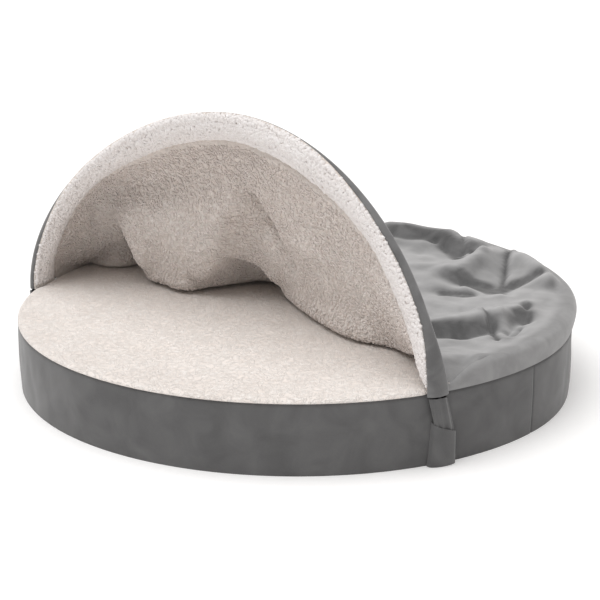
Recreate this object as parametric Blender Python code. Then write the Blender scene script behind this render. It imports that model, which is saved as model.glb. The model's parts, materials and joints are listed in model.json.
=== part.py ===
"""Hooded pet bed: a round filled mattress with a blanket hood held up by a sprung hoop.

Frame: the origin is under the middle of the bed, on the surface it stands on, +Z is up, the
hood opens towards -Y, and the hoop's two ends stand at -X and +X. All sizes are in metres.
"""

import math

import bmesh
import bpy
import numpy as np
from mathutils import Vector

# Bed
BED_RADIUS = 0.4445
SEAM_HEIGHT = 0.1063          # the seam that joins the top panel to the side band
CLOTH_GAP = 0.0003            # clearance between neighbouring pieces
BAND_THICKNESS = 0.002
FILL_GAP = 0.0008             # between the band and the filled cushion in it
BAND_BULGE = 0.0012           # how far the band's edges stand inside its middle
PANEL_THICKNESS = 0.005
PANEL_EDGE_ROUND = 0.009
PANEL_STEP = 0.0074           # the top panel stops this far inside the rim behind the hood
PANEL_NARROW_REACH = 118.0    # degrees each way from the back over which it does
SEAT_CROWN = 0.003
BASE_ROUND = 0.006
SIDE_TUCK = 0.008             # the rim is drawn in under the blanket on one side
SIDE_TUCK_ANGLE = 40.0
SIDE_TUCK_REACH = 38.0

# Hoop: the rod's centre line
ROD_RADIUS = 0.004
ROD_STANDOFF = 0.0067         # rod centre outside the band
HOOP_END_ANGLE = -25.35       # on the rim, measured from +X
HOOP_RISE = 0.3265            # above the rim seam
HOOP_WIDTH_POWER = 1.043
HOOP_RISE_POWER = 1.14
HOOP_BOW = 0.0616             # the arch bows back between its ends
HOOP_LEAN = -0.040
ROD_TIP_HEIGHT = 0.022

# Blanket hood
COVER_THICKNESS = 0.0018
LINING_THICKNESS = 0.0034
TUBE_INNER_RADIUS = 0.0058
TUBE_REAR_ANGLE = 188.0       # the cover leaves the tube here, behind the rod
TUBE_FRONT_ANGLE = 8.0        # the lining leaves it here or just past its seam
TUBE_LINING_WRAP = 18.0
TUBE_SEAM_GAP = 5.0
WAIST_SHARE = 0.25            # the waist's share of the curtain's height
FOOT_SHARE = 0.36             # the foot's place along each line
LIP_FULL = 0.045              # lips this high turn all the way under
LIP_TURN = 0.010              # the waist stands this far above a lip
FOOT_CLEARANCE = LINING_THICKNESS + 0.0009
RIM_INSET = 0.0024            # mid surface to the rim at the rim seam
EDGE_ROUND = 0.016
ROWS_COVER_TUBE = 7
ROWS_LINING_TUBE = 4
SHORT_REACH = 0.003           # feet this near the rim have no room to lie on the seat
LONG_REACH = 0.012

# Ends of the hoop
SLEEVE_HALF_WIDTH = 0.0142
SLEEVE_HALF_DEPTH = 0.0061
SLEEVE_WALL = 0.0014
SLEEVE_TOP = 0.1030
SLEEVE_BOTTOM = 0.026
SLEEVE_LEAN = 0.012           # its lower part stands this far back along the rim
POCKET_TOP = 0.056
POCKET_BOTTOM = 0.0004
POCKET_TOP_HALF_WIDTH = 0.0185
POCKET_BOTTOM_HALF_WIDTH = 0.0225
POCKET_TOP_SHIFT = 0.0125     # how far back its mouth and its foot stand
POCKET_BOTTOM_SHIFT = 0.011
POCKET_DEPTH = 0.0156
POCKET_WALL = 0.0016

ROUND_STEPS = 72

# Sections of the hanging hood, from its left end to its right end. place: share of the hoop
# from its left foot; seam: where round the rod the two cloths meet, degrees inwards from the
# front; slant: turn of the channel from the hoop's plane towards the back, degrees; channel:
# width from the rod to the stitch line behind it, mm; tilt: how far the channel tilts up,
# degrees; rim: where the line ends, degrees along the rim from -X; mid, waist and foot: where
# the cloth hangs at half height, low down and where it meets the seat, mm in plan; lift: how
# far the foot is held off the seat, mm; lip: height at which the cloth turns back under
# itself, or 0, mm; recess: how far it goes back there, mm.
SECTIONS = (
    # place seam slant channel tilt rim mid_x mid_y waist_x waist_y foot_x foot_y lift lip recess
    (0.000, -66, 103, 59, 0, -17.7, -421, -136, -421, -135, -421, -134, -2, 0, 0),
    (0.030, -68, 101, 50, 1, -15.0, -422, -132, -425, -122, -427, -114, 5, 0, 0),
    (0.055, -66, 98, 46, 2, -12.3, -418, -126, -425, -108, -432, -94, 6, 0, 0),
    (0.080, -65, 94, 44, 1, -9.0, -410, -116, -417, -90, -436, -71, 6, 0, 0),
    (0.110, -70, 91, 43, 0, -4.5, -398, -107, -406, -76, -426, -50, 2, 18, 8),
    (0.140, -84, 90, 43, 0, 1.0, -382, -101, -388, -68, -400, -51, 0, 34, 20),
    (0.170, -104, 89, 43, 0, 8.0, -386, -98, -370, -62, -376, -51, 0, 46, 24),
    (0.200, -122, 86, 43, 0, 16.0, -374, -100, -345, -56, -353, -38, 0, 54, 26),
    (0.235, -130, 78, 43, 0, 24.0, -350, -104, -312, -58, -344, -2, 0, 60, 8),
    (0.270, -126, 66, 43, 0, 33.0, -308, -106, -274, -92, -292, -36, 0, 50, 0),
    (0.305, -118, 54, 43, 0, 41.0, -262, -110, -248, -98, -266, -66, 0, 22, 0),
    (0.350, -114, 44, 43, 0, 51.0, -200, -107, -226, -92, -222, -80, 0, 0, 0),
    (0.400, -110, 37, 43, 0, 61.6, -147, -106, -176, -92, -168, -86, 0, 2, 0),
    (0.440, -106, 33, 43, 0, 70.4, -101, -104, -136, -90, -158, -58, 0, 26, 0),
    (0.480, -106, 28, 43, 0, 79.4, -67, -98, -106, -80, -136, -20, 0, 52, 0),
    (0.520, -104, 21, 43, 0, 88.4, -39, -90, -82, -62, -114, 22, 0, 74, 0),
    (0.560, -98, 14, 43, 0, 97.6, -2, -80, -50, -30, -66, 34, 0, 50, 0),
    (0.600, -94, 11, 43, 0, 106.8, 56, -94, 14, -48, 8, -24, 0, 6, 0),
    (0.650, -75, 11, 43, 0, 118.5, 126, -107, 96, -74, 112, -82, 0, 0, 0),
    (0.710, -50, 17, 43, 0, 132.7, 197, -121, 176, -96, 188, -108, 0, 0, 0),
    (0.760, -34, 21, 43, 0, 144.7, 240, -128, 218, -104, 224, -104, 0, 0, 0),
    (0.810, -24, 18, 43, 0, 156.8, 281, -137, 262, -112, 260, -98, 2, 0, 0),
    (0.860, -13, 19, 43, 0, 169.0, 317, -149, 304, -130, 298, -118, 10, 0, 0),
    (0.910, -4, 22, 43, 1, 181.4, 347, -162, 342, -152, 334, -142, 22, 0, 0),
    (0.955, 18, 23, 35, 10, 192.6, 372, -175, 373, -171, 368, -160, 28, 0, 0),
    (0.980, 34, 24, 23, 28, 198.8, 388, -181, 389, -178, 386, -169, 18, 0, 0),
    (1.000, 45, 24, 14, 45, 203.8, 399, -187, 400, -184, 400, -181, 3, 0, 0),
)

# How the sheets' lines are spread along the hoop, closer where the folds are tight.
LINE_STEPS = (
    # from_place to_place steps
    (0.00, 0.17, 7),
    (0.17, 0.31, 9),
    (0.31, 0.43, 3),
    (0.43, 0.60, 7),
    (0.60, 0.90, 8),
    (0.90, 1.00, 4),
)

# How each line's points are spread from the stitch to the rim, closer at the lips and the rim.
ROW_STEPS = (
    # from_share to_share steps
    (0.00, 0.17, 4),
    (0.17, 0.38, 9),
    (0.38, 0.84, 7),
    (0.84, 1.00, 4),
)

# Puffs and hollows of the blanket where it lies on the seat: a ridge runs from one plan point
# to the other, mm; rise: height at its crest, negative for a hollow, mm; spread: how far it
# reaches to each side, mm.
FOLDS = (
    # from_x from_y to_x to_y rise spread
    (-110, 415, 80, 405, 10, 34),
    (-60, 345, 60, 335, -9, 34),
    (60, 232, 114, 275, 4, 22),
    (128, 240, 148, 398, 12, 26),
    (165, 370, 310, 285, 12, 26),
    (130, 405, 250, 205, -9, 16),
    (176, 210, 240, 222, -8, 30),
    (176, 147, 227, 189, -8, 26),
    (277, -15, 338, 128, 13, 24),
    (342, 112, 368, 52, -12, 16),
    (291, -30, 340, 18, -7, 22),
    (-250, 300, -120, 180, 9, 30),
    (-300, 120, -160, 130, 10, 34),
    (-60, 130, -20, 260, -7, 34),
    (-350, 40, -330, 180, -8, 26),
)
BLANKET_LOFT = 0.013          # the blanket's own rise above the seat between its folds
LEAST_LOFT = 0.002
EDGE_LOFT = 0.007             # and how much more it stands up along the rim
EDGE_REACH = 0.06
LOFT_REACH = 0.075            # distance behind the foot over which the loft is reached
FOLD_FADE = 0.03              # folds fade out this far from the rim

# Long soft folds of the hanging part, seen from the front: from and to are across and height,
# mm; rise is towards the front, negative for a groove, mm.
CURTAIN_FOLDS = (
    # from_x from_z to_x to_z rise spread
    (-30, 330, 40, 205, -11, 26),
    (-62, 350, -40, 230, 5, 24),
    (110, 290, 120, 190, 6, 40),
    (-330, 290, -318, 200, -6, 24),
    (-250, 330, -230, 200, 5, 40),
    (250, 250, 262, 170, -4, 30),
)


def smoothstep(value):
    value = np.clip(value, 0.0, 1.0)
    return value * value * (3.0 - 2.0 * value)


def spread(runs):
    """Places from a table of evenly spaced runs."""
    return np.concatenate([[0.0]] + [np.linspace(first, last, steps + 1)[1:] for first, last, steps in runs])


def rim_radius(angle):
    """Plan radius of the bed's rim at an angle in radians."""
    away = np.abs((np.degrees(angle) - SIDE_TUCK_ANGLE + 180.0) % 360.0 - 180.0)
    return BED_RADIUS - SIDE_TUCK * smoothstep(1.0 - away / SIDE_TUCK_REACH)


def hood_arc_share(angle):
    """1 where the blanket is sewn to the rim, 0 round the open front."""
    from_back = np.abs((np.degrees(angle) - 90.0 + 180.0) % 360.0 - 180.0)
    return smoothstep((PANEL_NARROW_REACH - from_back) / 3.0)


def panel_radius(angle):
    return rim_radius(angle) - CLOTH_GAP - PANEL_STEP * hood_arc_share(angle)


def panel_under(share):
    """Height of the top panel's underside at a share of the rim's radius."""
    return SEAM_HEIGHT + CLOTH_GAP + SEAT_CROWN * (1.0 - share ** 4)


def seat_height(x, y):
    """Height of the top panel's upper surface, falling round its edge."""
    angle, radius = np.arctan2(y, x), np.hypot(x, y)
    share = np.clip(radius / rim_radius(angle), 0.0, 1.0)
    inside = np.clip((panel_radius(angle) - radius) / PANEL_EDGE_ROUND, 0.0, 1.0)
    return panel_under(share) + PANEL_THICKNESS * np.sqrt(1.0 - (1.0 - inside) ** 2)


def hoop_point(place):
    """Centre of the rod at a share of the hoop from its left foot."""
    place = np.asarray(place, dtype=float)
    end = math.radians(HOOP_END_ANGLE)
    reach = BED_RADIUS + ROD_STANDOFF
    turn = math.pi * (1.0 - place)
    across, up = np.cos(turn), np.abs(np.sin(turn))
    rise = HOOP_RISE * up ** HOOP_RISE_POWER
    x = reach * math.cos(end) * np.sign(across) * np.abs(across) ** HOOP_WIDTH_POWER
    y = reach * math.sin(end) + HOOP_LEAN * rise + HOOP_BOW * up * up
    return np.stack([x, y, SEAM_HEIGHT + rise], axis=-1)


def unit(vector):
    return vector / np.linalg.norm(vector, axis=-1, keepdims=True)


def section_values(places):
    """Interpolate the table of sections smoothly at the given places."""
    table = np.array(SECTIONS, dtype=float)
    known, values = table[:, 0], table[:, 1:]
    slopes = np.gradient(values, known, axis=0)
    index = np.clip(np.searchsorted(known, places, side="right") - 1, 0, len(known) - 2)
    step = (known[index + 1] - known[index])[:, None]
    share = ((places - known[index])[:, None]) / step
    start, end = values[index], values[index + 1]
    rise = start + (end - start) * share
    bend = share * (1.0 - share)
    lean = (slopes[index] * step - (end - start)) * (1.0 - share)
    lean -= (slopes[index + 1] * step - (end - start)) * share
    return rise + bend * lean


def ridge_sum(first, second, rows):
    """Sum the ridges of a table at points given by two coordinates in metres."""
    total = np.zeros(np.broadcast(first, second).shape)
    for from_a, from_b, to_a, to_b, rise, spread in np.array(rows) * 0.001:
        run_a, run_b = to_a - from_a, to_b - from_b
        length = run_a * run_a + run_b * run_b
        share = np.clip(((first - from_a) * run_a + (second - from_b) * run_b) / length, 0.0, 1.0)
        off = np.hypot(first - from_a - share * run_a, second - from_b - share * run_b)
        total += rise * np.exp(-(off / spread) ** 2)
    return total


def hoop_frames(places):
    """Rod centre, direction along the rod, and unit vectors into the channel and to its rear."""
    centre = hoop_point(places)
    step = 0.002
    ahead, behind = hoop_point(np.clip(places + step, 0.0, 1.0)), hoop_point(np.clip(places - step, 0.0, 1.0))
    along = unit(ahead - behind)
    inward = unit(np.cross([0.0, 1.0, 0.0], along))
    rear = np.cross(along, inward)
    slant = np.radians(section_values(places)[:, 1])[:, None]
    into = inward * np.cos(slant) + rear * np.sin(slant)
    return centre, along, into, np.cross(along, into)


def stitch_line(places):
    """Where the channel is closed behind the rod, its direction and the cloth's normal there."""
    centre, along, into, _ = hoop_frames(places)
    values = section_values(places)
    width = values[:, 2:3] * 0.001
    tilt = np.radians(values[:, 3:4])
    leaning = unit(into * np.cos(tilt) + np.array([0.0, 0.0, 1.0]) * np.sin(tilt))
    return centre + leaning * width, leaning, unit(np.cross(along, leaning))


def b_spline(controls, shares):
    """Points of a clamped uniform cubic B-spline; controls is (lines, controls, 3)."""
    count = controls.shape[1]
    knots = np.concatenate([[0.0] * 3, np.linspace(0.0, 1.0, count - 2), [1.0] * 3])
    basis = np.zeros((len(shares), count + 3))
    for row, share in enumerate(shares):
        span = min(np.searchsorted(knots, share, side="right") - 1, count - 1)
        basis[row, span] = 1.0
    for degree in (1, 2, 3):
        for index in range(count + 3 - degree):
            left = knots[index + degree] - knots[index]
            last = index + degree + 1 >= len(knots)
            right = 0.0 if last else knots[index + degree + 1] - knots[index + 1]
            value = np.zeros(len(shares))
            if left > 0.0:
                value += (shares - knots[index]) / left * basis[:, index]
            if right > 0.0:
                value += (knots[index + degree + 1] - shares) / right * basis[:, index + 1]
            basis[:, index] = value
    return np.einsum("sc,lcd->lsd", basis[:, :count], controls)


def at(plan, height):
    return np.concatenate([plan, np.broadcast_to(height, plan.shape[:1])[:, None]], axis=1)


def lying_height(plan, from_foot, from_rim, lift):
    """Height of the blanket's middle surface where it lies on the seat, before its folds."""
    loft = BLANKET_LOFT + EDGE_LOFT * np.exp(-(from_rim / EDGE_REACH) ** 2)
    risen = loft * smoothstep(from_foot / LOFT_REACH)
    return seat_height(*plan.T) + FOOT_CLEARANCE + np.maximum(risen, lift)


def rim_points(places):
    """Plan points of the rim that the blanket's lines run to, and the rays to them."""
    angle = math.pi - np.radians(section_values(places)[:, 4])
    ray = np.stack([np.cos(angle), np.sin(angle)], axis=1)
    return ray * (rim_radius(angle) - RIM_INSET)[:, None], ray


def blanket_controls(places):
    """Control points of the blanket's middle surface from the stitch line to the rim seam."""
    values = section_values(places) * 0.001
    middle, waist, foot, lift = values[:, 5:7], values[:, 7:9], values[:, 9:11], values[:, 11]
    lip, recess = values[:, 12], values[:, 13:14] * np.array([0.0, 1.0])
    stitch, leaning, _ = stitch_line(places)
    rim, ray = rim_points(places)
    gap = np.hypot(*(rim - foot).T)
    room = smoothstep((gap - SHORT_REACH) / (LONG_REACH - SHORT_REACH))

    low = SEAM_HEIGHT + CLOTH_GAP
    foot_z = seat_height(*foot.T) + FOOT_CLEARANCE + lift
    drop = np.maximum(stitch[:, 2] - foot_z, 0.0005)
    fall = np.minimum(0.35 * drop, 0.07)[:, None]
    tuck = smoothstep(lip / LIP_FULL)
    waist_z = WAIST_SHARE * drop
    waist_z += tuck * (lip + LIP_TURN - waist_z)
    turn_z, under_z = 0.17 * drop, 0.10 * drop
    turn_z += tuck * (lip - turn_z)
    under_z += tuck * (0.8 * lip - under_z)
    turn, under = (0.45 - 0.42 * tuck)[:, None], (0.75 + 0.05 * tuck)[:, None]
    controls = [stitch, stitch + leaning * fall,
                at(middle, foot_z + 0.55 * drop + 0.25 * tuck * lip),
                at(waist, foot_z + waist_z),
                at(waist + turn * (foot - waist), foot_z + turn_z),
                at(waist + under * (foot - waist) + tuck[:, None] * recess, foot_z + under_z),
                at(foot, foot_z)]
    for share in (0.10, 0.22, 0.36, 0.50, 0.64, 0.78):
        plan = foot + (rim - foot) * share
        lying = lying_height(plan, share * gap, (1.0 - share) * gap, lift * (1.0 - share))
        falling = foot_z + (low - foot_z) * share
        controls.append(at(plan, falling + room * (lying - falling)))
    inner = rim - ray * (np.minimum(EDGE_ROUND, 0.12 * gap + 0.002) * room)[:, None]
    over = rim + (ray * (BED_RADIUS - RIM_INSET) - rim) * room[:, None]
    falling = foot_z + (low - foot_z) * 0.86
    edge_top = falling + room * (lying_height(inner, gap * room, 0.0, 0.0) - falling)
    controls += [at(inner, edge_top), at(over, edge_top), at(over, 0.5 * (low + edge_top)), at(rim, low)]
    return np.stack(controls, axis=1)


def blanket_surface(places):
    """Middle surface of the hanging and lying blanket, and its normals towards the cover."""
    shares = spread(ROW_STEPS)
    grid = b_spline(blanket_controls(places), shares)
    x, y, z = np.moveaxis(grid, 2, 0)

    foot = section_values(places)[:, None, 9:11] * 0.001
    rim = rim_points(places)[0][:, None]
    behind = smoothstep(np.hypot(*np.moveaxis(grid[:, :, :2] - foot, 2, 0)) / LOFT_REACH)
    within = smoothstep(np.hypot(*np.moveaxis(grid[:, :, :2] - rim, 2, 0)) / FOLD_FADE)
    lying = (shares > FOOT_SHARE)[None, :] * behind * within
    puffs = np.maximum(ridge_sum(x, y, FOLDS), LEAST_LOFT - BLANKET_LOFT)

    hanging = smoothstep((z - SEAM_HEIGHT - 0.045) / 0.04) * (y < 0.10)
    from_end = smoothstep(np.minimum(places, 1.0 - places) / 0.10)[:, None]
    from_stitch = smoothstep(shares / 0.08)[None, :]
    sway = ridge_sum(x, z, CURTAIN_FOLDS) * hanging * from_end * from_stitch

    grid = np.stack([x, y - sway, z + lying * puffs], axis=2)
    normal = unit(np.cross(np.gradient(grid, places, axis=0), np.gradient(grid, shares, axis=1)))
    normal[:, 0] = unit(normal[:, 0] + stitch_line(places)[2])
    normal[:, -1] = unit(normal[:, -1] * (1.0, 1.0, 0.0))
    return grid, normal


def shorter_splits(grid):
    """Whether each cell of a grid is shorter from its first corner than across the other two."""
    falling = np.linalg.norm(grid[:-1, :-1] - grid[1:, 1:], axis=2)
    rising = np.linalg.norm(grid[1:, :-1] - grid[:-1, 1:], axis=2)
    return falling < rising


def round_tube(places, turns, radius):
    """Points round the rod; turns are degrees inwards from the front, one row per column."""
    centre, _, into, side = hoop_frames(places)
    around = np.radians(turns)[:, :, None]
    spokes = into[:, None] * np.sin(around) - side[:, None] * np.cos(around)
    return centre[:, None] + radius * spokes


def cover_faces(places):
    """Inner and outer faces of the cover: round the tube, along the channel, then the blanket."""
    seam = section_values(places)[:, 0][:, None]
    grid, normal = blanket_surface(places)
    share = np.linspace(0.0, 1.0, ROWS_COVER_TUBE)[None, :]
    turns = seam + (-TUBE_REAR_ANGLE - seam) * share
    faces = []
    for offset in (0.0, COVER_THICKNESS):
        tube = round_tube(places, turns, TUBE_INNER_RADIUS + offset)
        faces.append(np.concatenate([tube, grid + normal * (0.5 * CLOTH_GAP + offset)], axis=1))
    return faces


def lining_faces(places):
    """Inner and outer faces of the lining, laid out as the cover's are."""
    seam = section_values(places)[:, 0][:, None] + TUBE_SEAM_GAP
    grid, normal = blanket_surface(places)
    share = np.linspace(0.0, 1.0, ROWS_LINING_TUBE)[None, :]
    turns = seam + (np.maximum(TUBE_FRONT_ANGLE, seam + TUBE_LINING_WRAP) - seam) * share
    faces = []
    for offset in (0.0, LINING_THICKNESS):
        tube = round_tube(places, turns, TUBE_INNER_RADIUS - 0.0008 + offset)
        faces.append(np.concatenate([tube, grid - normal * (0.5 * CLOTH_GAP + offset)], axis=1))
    return faces


def material(name, colour, roughness, metallic=0.0):
    made = bpy.data.materials.new(name)
    made.use_nodes = True
    shader = made.node_tree.nodes["Principled BSDF"]
    shader.inputs["Base Color"].default_value = (*colour, 1.0)
    shader.inputs["Roughness"].default_value = roughness
    shader.inputs["Metallic"].default_value = metallic
    return made


def finish(mesh_edit, name, look, sharp_angle=50.0):
    """Turn an edited mesh into a named, shaded object with its faces pointing out."""
    bmesh.ops.recalc_face_normals(mesh_edit, faces=mesh_edit.faces)
    mesh = bpy.data.meshes.new(name)
    mesh_edit.to_mesh(mesh)
    mesh_edit.free()
    mesh.materials.append(look)
    mesh.shade_smooth()
    mesh.set_sharp_from_angle(angle=math.radians(sharp_angle))
    made = bpy.data.objects.new(name, mesh)
    bpy.context.scene.collection.objects.link(made)
    return made


def sheet_between(name, lower, upper, look, falling=None):
    """Closed sheet between two grids of the same size, both split into the same triangles.

    falling: for the last columns of cells, whether a cell is split from its first corner.
    """
    edit = bmesh.new()
    rows, columns = lower.shape[:2]
    layers = [[[edit.verts.new(Vector(point)) for point in line] for line in grid]
              for grid in (lower, upper)]
    split = np.ones((rows - 1, columns - 1), dtype=bool)
    if falling is not None:
        split[:, columns - 1 - falling.shape[1]:] = falling
    for row in range(rows - 1):
        for column in range(columns - 1):
            start = 0 if split[row, column] else 1
            for layer, turned in zip(layers, (True, False)):
                loop = [layer[row][column], layer[row + 1][column],
                        layer[row + 1][column + 1], layer[row][column + 1]]
                loop = loop[start:] + loop[:start]
                for corners in (loop[:3], [loop[2], loop[3], loop[0]]):
                    edit.faces.new(corners[::-1] if turned else corners)
    edge = [(row, 0) for row in range(rows)] + [(rows - 1, column) for column in range(1, columns)]
    edge += [(row, columns - 1) for row in range(rows - 2, -1, -1)]
    edge += [(0, column) for column in range(columns - 2, 0, -1)]
    for here, after in zip(edge, edge[1:] + edge[:1]):
        low, high = layers
        edit.faces.new([low[here[0]][here[1]], low[after[0]][after[1]],
                        high[after[0]][after[1]], high[here[0]][here[1]]])
    return finish(edit, name, look)


def rings_solid(name, rings, look, bottom_centre, top_centre):
    """Closed solid from rings of equal length, each end drawn to a centre point."""
    edit = bmesh.new()
    loops = [[edit.verts.new(Vector(point)) for point in ring] for ring in rings]
    count = len(loops[0])
    for low, high in zip(loops, loops[1:]):
        for index in range(count):
            after = (index + 1) % count
            edit.faces.new([low[index], low[after], high[after], high[index]])
    for loop, centre in ((loops[0], bottom_centre), (loops[-1], top_centre)):
        middle = edit.verts.new(Vector(centre))
        for index in range(count):
            edit.faces.new([loop[index], loop[(index + 1) % count], middle])
    return finish(edit, name, look)


def angles_round():
    return np.linspace(0.0, 2.0 * math.pi, ROUND_STEPS, endpoint=False)


def ring(angles, radius, height):
    height = np.broadcast_to(height, angles.shape)
    return np.stack([radius * np.cos(angles), radius * np.sin(angles), height], axis=1)


def build_mattress(look):
    """Filled cushion with a flat base, upright sides and a slightly crowned top."""
    angles = angles_round()
    side = rim_radius(angles) - BAND_THICKNESS - FILL_GAP
    top = side - PANEL_STEP
    rings = [ring(angles, side * 0.5, 0.0), ring(angles, side - BAND_BULGE - BASE_ROUND, 0.0),
             ring(angles, side - BAND_BULGE, BASE_ROUND), ring(angles, side, 0.5 * SEAM_HEIGHT),
             ring(angles, side - BAND_BULGE, SEAM_HEIGHT - BASE_ROUND)]
    for share in (1.0, 0.85, 0.6, 0.3):
        rings.append(ring(angles, top * share, panel_under(share) - CLOTH_GAP))
    crown = panel_under(0.0) - CLOTH_GAP
    return rings_solid("mattress", rings, look, (0.0, 0.0, 0.0), (0.0, 0.0, crown))


def build_seat_panel(look):
    """Round top panel with a soft rounded edge, following the cushion's crown."""
    angles = angles_round()
    edge = panel_radius(angles)
    rim = rim_radius(angles)
    shares = (0.3, 0.6, 0.85)
    rings = [ring(angles, rim * share, panel_under(share)) for share in shares]
    rings.append(ring(angles, edge, panel_under(1.0)))
    rings.append(ring(angles, edge, panel_under(1.0) + 0.4 * PANEL_THICKNESS))
    rings.append(ring(angles, edge - 0.3 * PANEL_EDGE_ROUND, panel_under(1.0) + 0.8 * PANEL_THICKNESS))
    rings.append(ring(angles, edge - PANEL_EDGE_ROUND, panel_under(0.98) + PANEL_THICKNESS))
    rings += [ring(angles, rim * share, panel_under(share) + PANEL_THICKNESS) for share in shares[::-1]]
    low = panel_under(0.0)
    return rings_solid("seat_panel", rings, look, (0.0, 0.0, low), (0.0, 0.0, low + PANEL_THICKNESS))


def build_band(name, first_angle, look):
    """Half of the side band, a sheet slightly bulged at mid height."""
    trim = CLOTH_GAP / BED_RADIUS
    angles = np.radians(np.linspace(first_angle, first_angle + 180.0, ROUND_STEPS // 2 + 1))
    angles[0] += trim
    top = SEAM_HEIGHT - CLOTH_GAP
    heights = np.array([0.0, 0.06, 0.34, 0.70, 1.0]) * top
    bulge = BAND_BULGE * (1.0 - (2.0 * heights / top - 1.0) ** 2)
    faces = []
    for depth in (BAND_THICKNESS, 0.0):
        radius = rim_radius(angles)[:, None] - BAND_BULGE + bulge[None, :] - depth
        face = np.stack([radius * np.cos(angles)[:, None], radius * np.sin(angles)[:, None],
                         np.broadcast_to(heights, radius.shape)], axis=2)
        faces.append(face)
    return sheet_between(name, faces[0], faces[1], look)


def build_rod(look):
    """Springy rod: up one side, over and down, its ends inside the sleeves."""
    arch = hoop_point(0.5 - 0.5 * np.cos(np.linspace(0.0, math.pi, 49)))
    heights = (ROD_TIP_HEIGHT, 0.5 * (ROD_TIP_HEIGHT + POCKET_TOP), POCKET_TOP,
               0.5 * (POCKET_TOP + SLEEVE_TOP))
    left_tip, right_tip = [
        [foot * (1, 1, 0) + end_frame(side)[2] * sleeve_lean(height) + np.array([0.0, 0.0, height])
         for height in heights]
        for side, foot in ((-1, arch[0]), (1, arch[-1]))]
    right_tip.reverse()
    curve = bpy.data.curves.new("hoop_rod", "CURVE")
    curve.dimensions = "3D"
    curve.bevel_depth = ROD_RADIUS
    curve.bevel_resolution = 2
    curve.use_fill_caps = True
    spline = curve.splines.new("POLY")
    points = [*left_tip, *arch, *right_tip]
    spline.points.add(len(points) - 1)
    for slot, point in zip(spline.points, points):
        slot.co = (*point, 1.0)
    curve.materials.append(look)
    made = bpy.data.objects.new("hoop_rod", curve)
    bpy.context.scene.collection.objects.link(made)
    return made


def end_frame(side):
    """Foot of the hoop on the rim: outward and sideways directions, and the way to the back."""
    angle = math.radians(HOOP_END_ANGLE)
    outward = np.array([side * math.cos(angle), math.sin(angle), 0.0])
    sideways = np.array([-outward[1], outward[0], 0.0])
    return outward, sideways, side * sideways


def sleeve_lean(height):
    """How far back along the rim the sleeve and the rod in it stand at a height."""
    return SLEEVE_LEAN * min(max((SLEEVE_TOP - height) / (SLEEVE_TOP - POCKET_TOP), 0.0), 1.0)


def build_sleeve(name, side, look):
    """Flat open-ended tube of cloth round the rod's lower end."""
    outward, sideways, back = end_frame(side)
    heights = (SLEEVE_BOTTOM, POCKET_TOP, SLEEVE_TOP)
    turns = np.linspace(0.0, 2.0 * math.pi, 16, endpoint=False)
    walls = []
    for inset in (0.0, SLEEVE_WALL):
        wall = []
        for height in heights:
            half_width = SLEEVE_HALF_WIDTH - inset
            half_depth = SLEEVE_HALF_DEPTH - inset
            across = half_width * np.sign(np.cos(turns)) * np.abs(np.cos(turns)) ** 0.8
            out = half_depth * np.sin(turns)
            middle = outward * (BED_RADIUS + ROD_STANDOFF) + back * sleeve_lean(height)
            wall.append(middle + out[:, None] * outward + across[:, None] * sideways
                        + np.array([0.0, 0.0, height]))
        walls.append(np.array(wall))
    edit = bmesh.new()
    loops = [[[edit.verts.new(Vector(point)) for point in line] for line in wall] for wall in walls]
    count = len(turns)
    for wall in loops:
        for low, high in zip(wall, wall[1:]):
            for index in range(count):
                after = (index + 1) % count
                edit.faces.new([low[index], low[after], high[after], high[index]])
    for end in (0, -1):
        for index in range(count):
            after = (index + 1) % count
            edit.faces.new([loops[0][end][index], loops[0][end][after],
                            loops[1][end][after], loops[1][end][index]])
    return finish(edit, name, look)


def build_pocket(name, side, look):
    """Patch pocket: a bulged patch whose sides and foot come back to the band."""
    outward, sideways, _ = end_frame(side)
    shares = np.linspace(-1.0, 1.0, 13)
    heights = np.linspace(POCKET_BOTTOM, POCKET_TOP, 4)
    faces = []
    for inset in (POCKET_WALL, 0.0):
        face = []
        for share in shares:
            line = []
            for height in heights:
                up = (height - POCKET_BOTTOM) / (POCKET_TOP - POCKET_BOTTOM)
                widening = POCKET_BOTTOM_HALF_WIDTH - POCKET_TOP_HALF_WIDTH
                half_width = POCKET_TOP_HALF_WIDTH + widening * (1.0 - up)
                shift = POCKET_BOTTOM_SHIFT + (POCKET_TOP_SHIFT - POCKET_BOTTOM_SHIFT) * up
                across = side * shift + (half_width - inset) * math.sin(0.5 * math.pi * share)
                depth = (POCKET_DEPTH - inset) * math.cos(0.5 * math.pi * share) ** 0.6
                radius = math.sqrt((BED_RADIUS + CLOTH_GAP) ** 2 - across ** 2) + depth
                line.append(outward * radius + sideways * across + np.array([0.0, 0.0, height]))
            face.append(line)
        faces.append(np.array(face))
    return sheet_between(name, faces[0], faces[1], look)


def main():
    for old in list(bpy.data.objects):
        bpy.data.objects.remove(old)
    sherpa = material("cream_sherpa", (0.78, 0.72, 0.68), 0.95)
    suede = material("grey_suede", (0.19, 0.19, 0.19), 0.85)
    base_cloth = material("grey_base_cloth", (0.16, 0.16, 0.16), 0.9)
    spring = material("dark_spring_rod", (0.05, 0.05, 0.055), 0.45)

    build_mattress(base_cloth)
    build_seat_panel(sherpa)
    build_band("band_back", 0.0, suede)
    build_band("band_front", 180.0, suede)
    places = spread(LINE_STEPS)
    falling = shorter_splits(blanket_surface(places)[0])
    sheet_between("hood_cover", *cover_faces(places), suede, falling)
    sheet_between("hood_lining", *lining_faces(places), sherpa, falling)
    build_rod(spring)
    for side, label in ((-1, "left"), (1, "right")):
        build_sleeve(f"rod_sleeve_{label}", side, suede)
        build_pocket(f"pocket_{label}", side, suede)


main()
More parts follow.
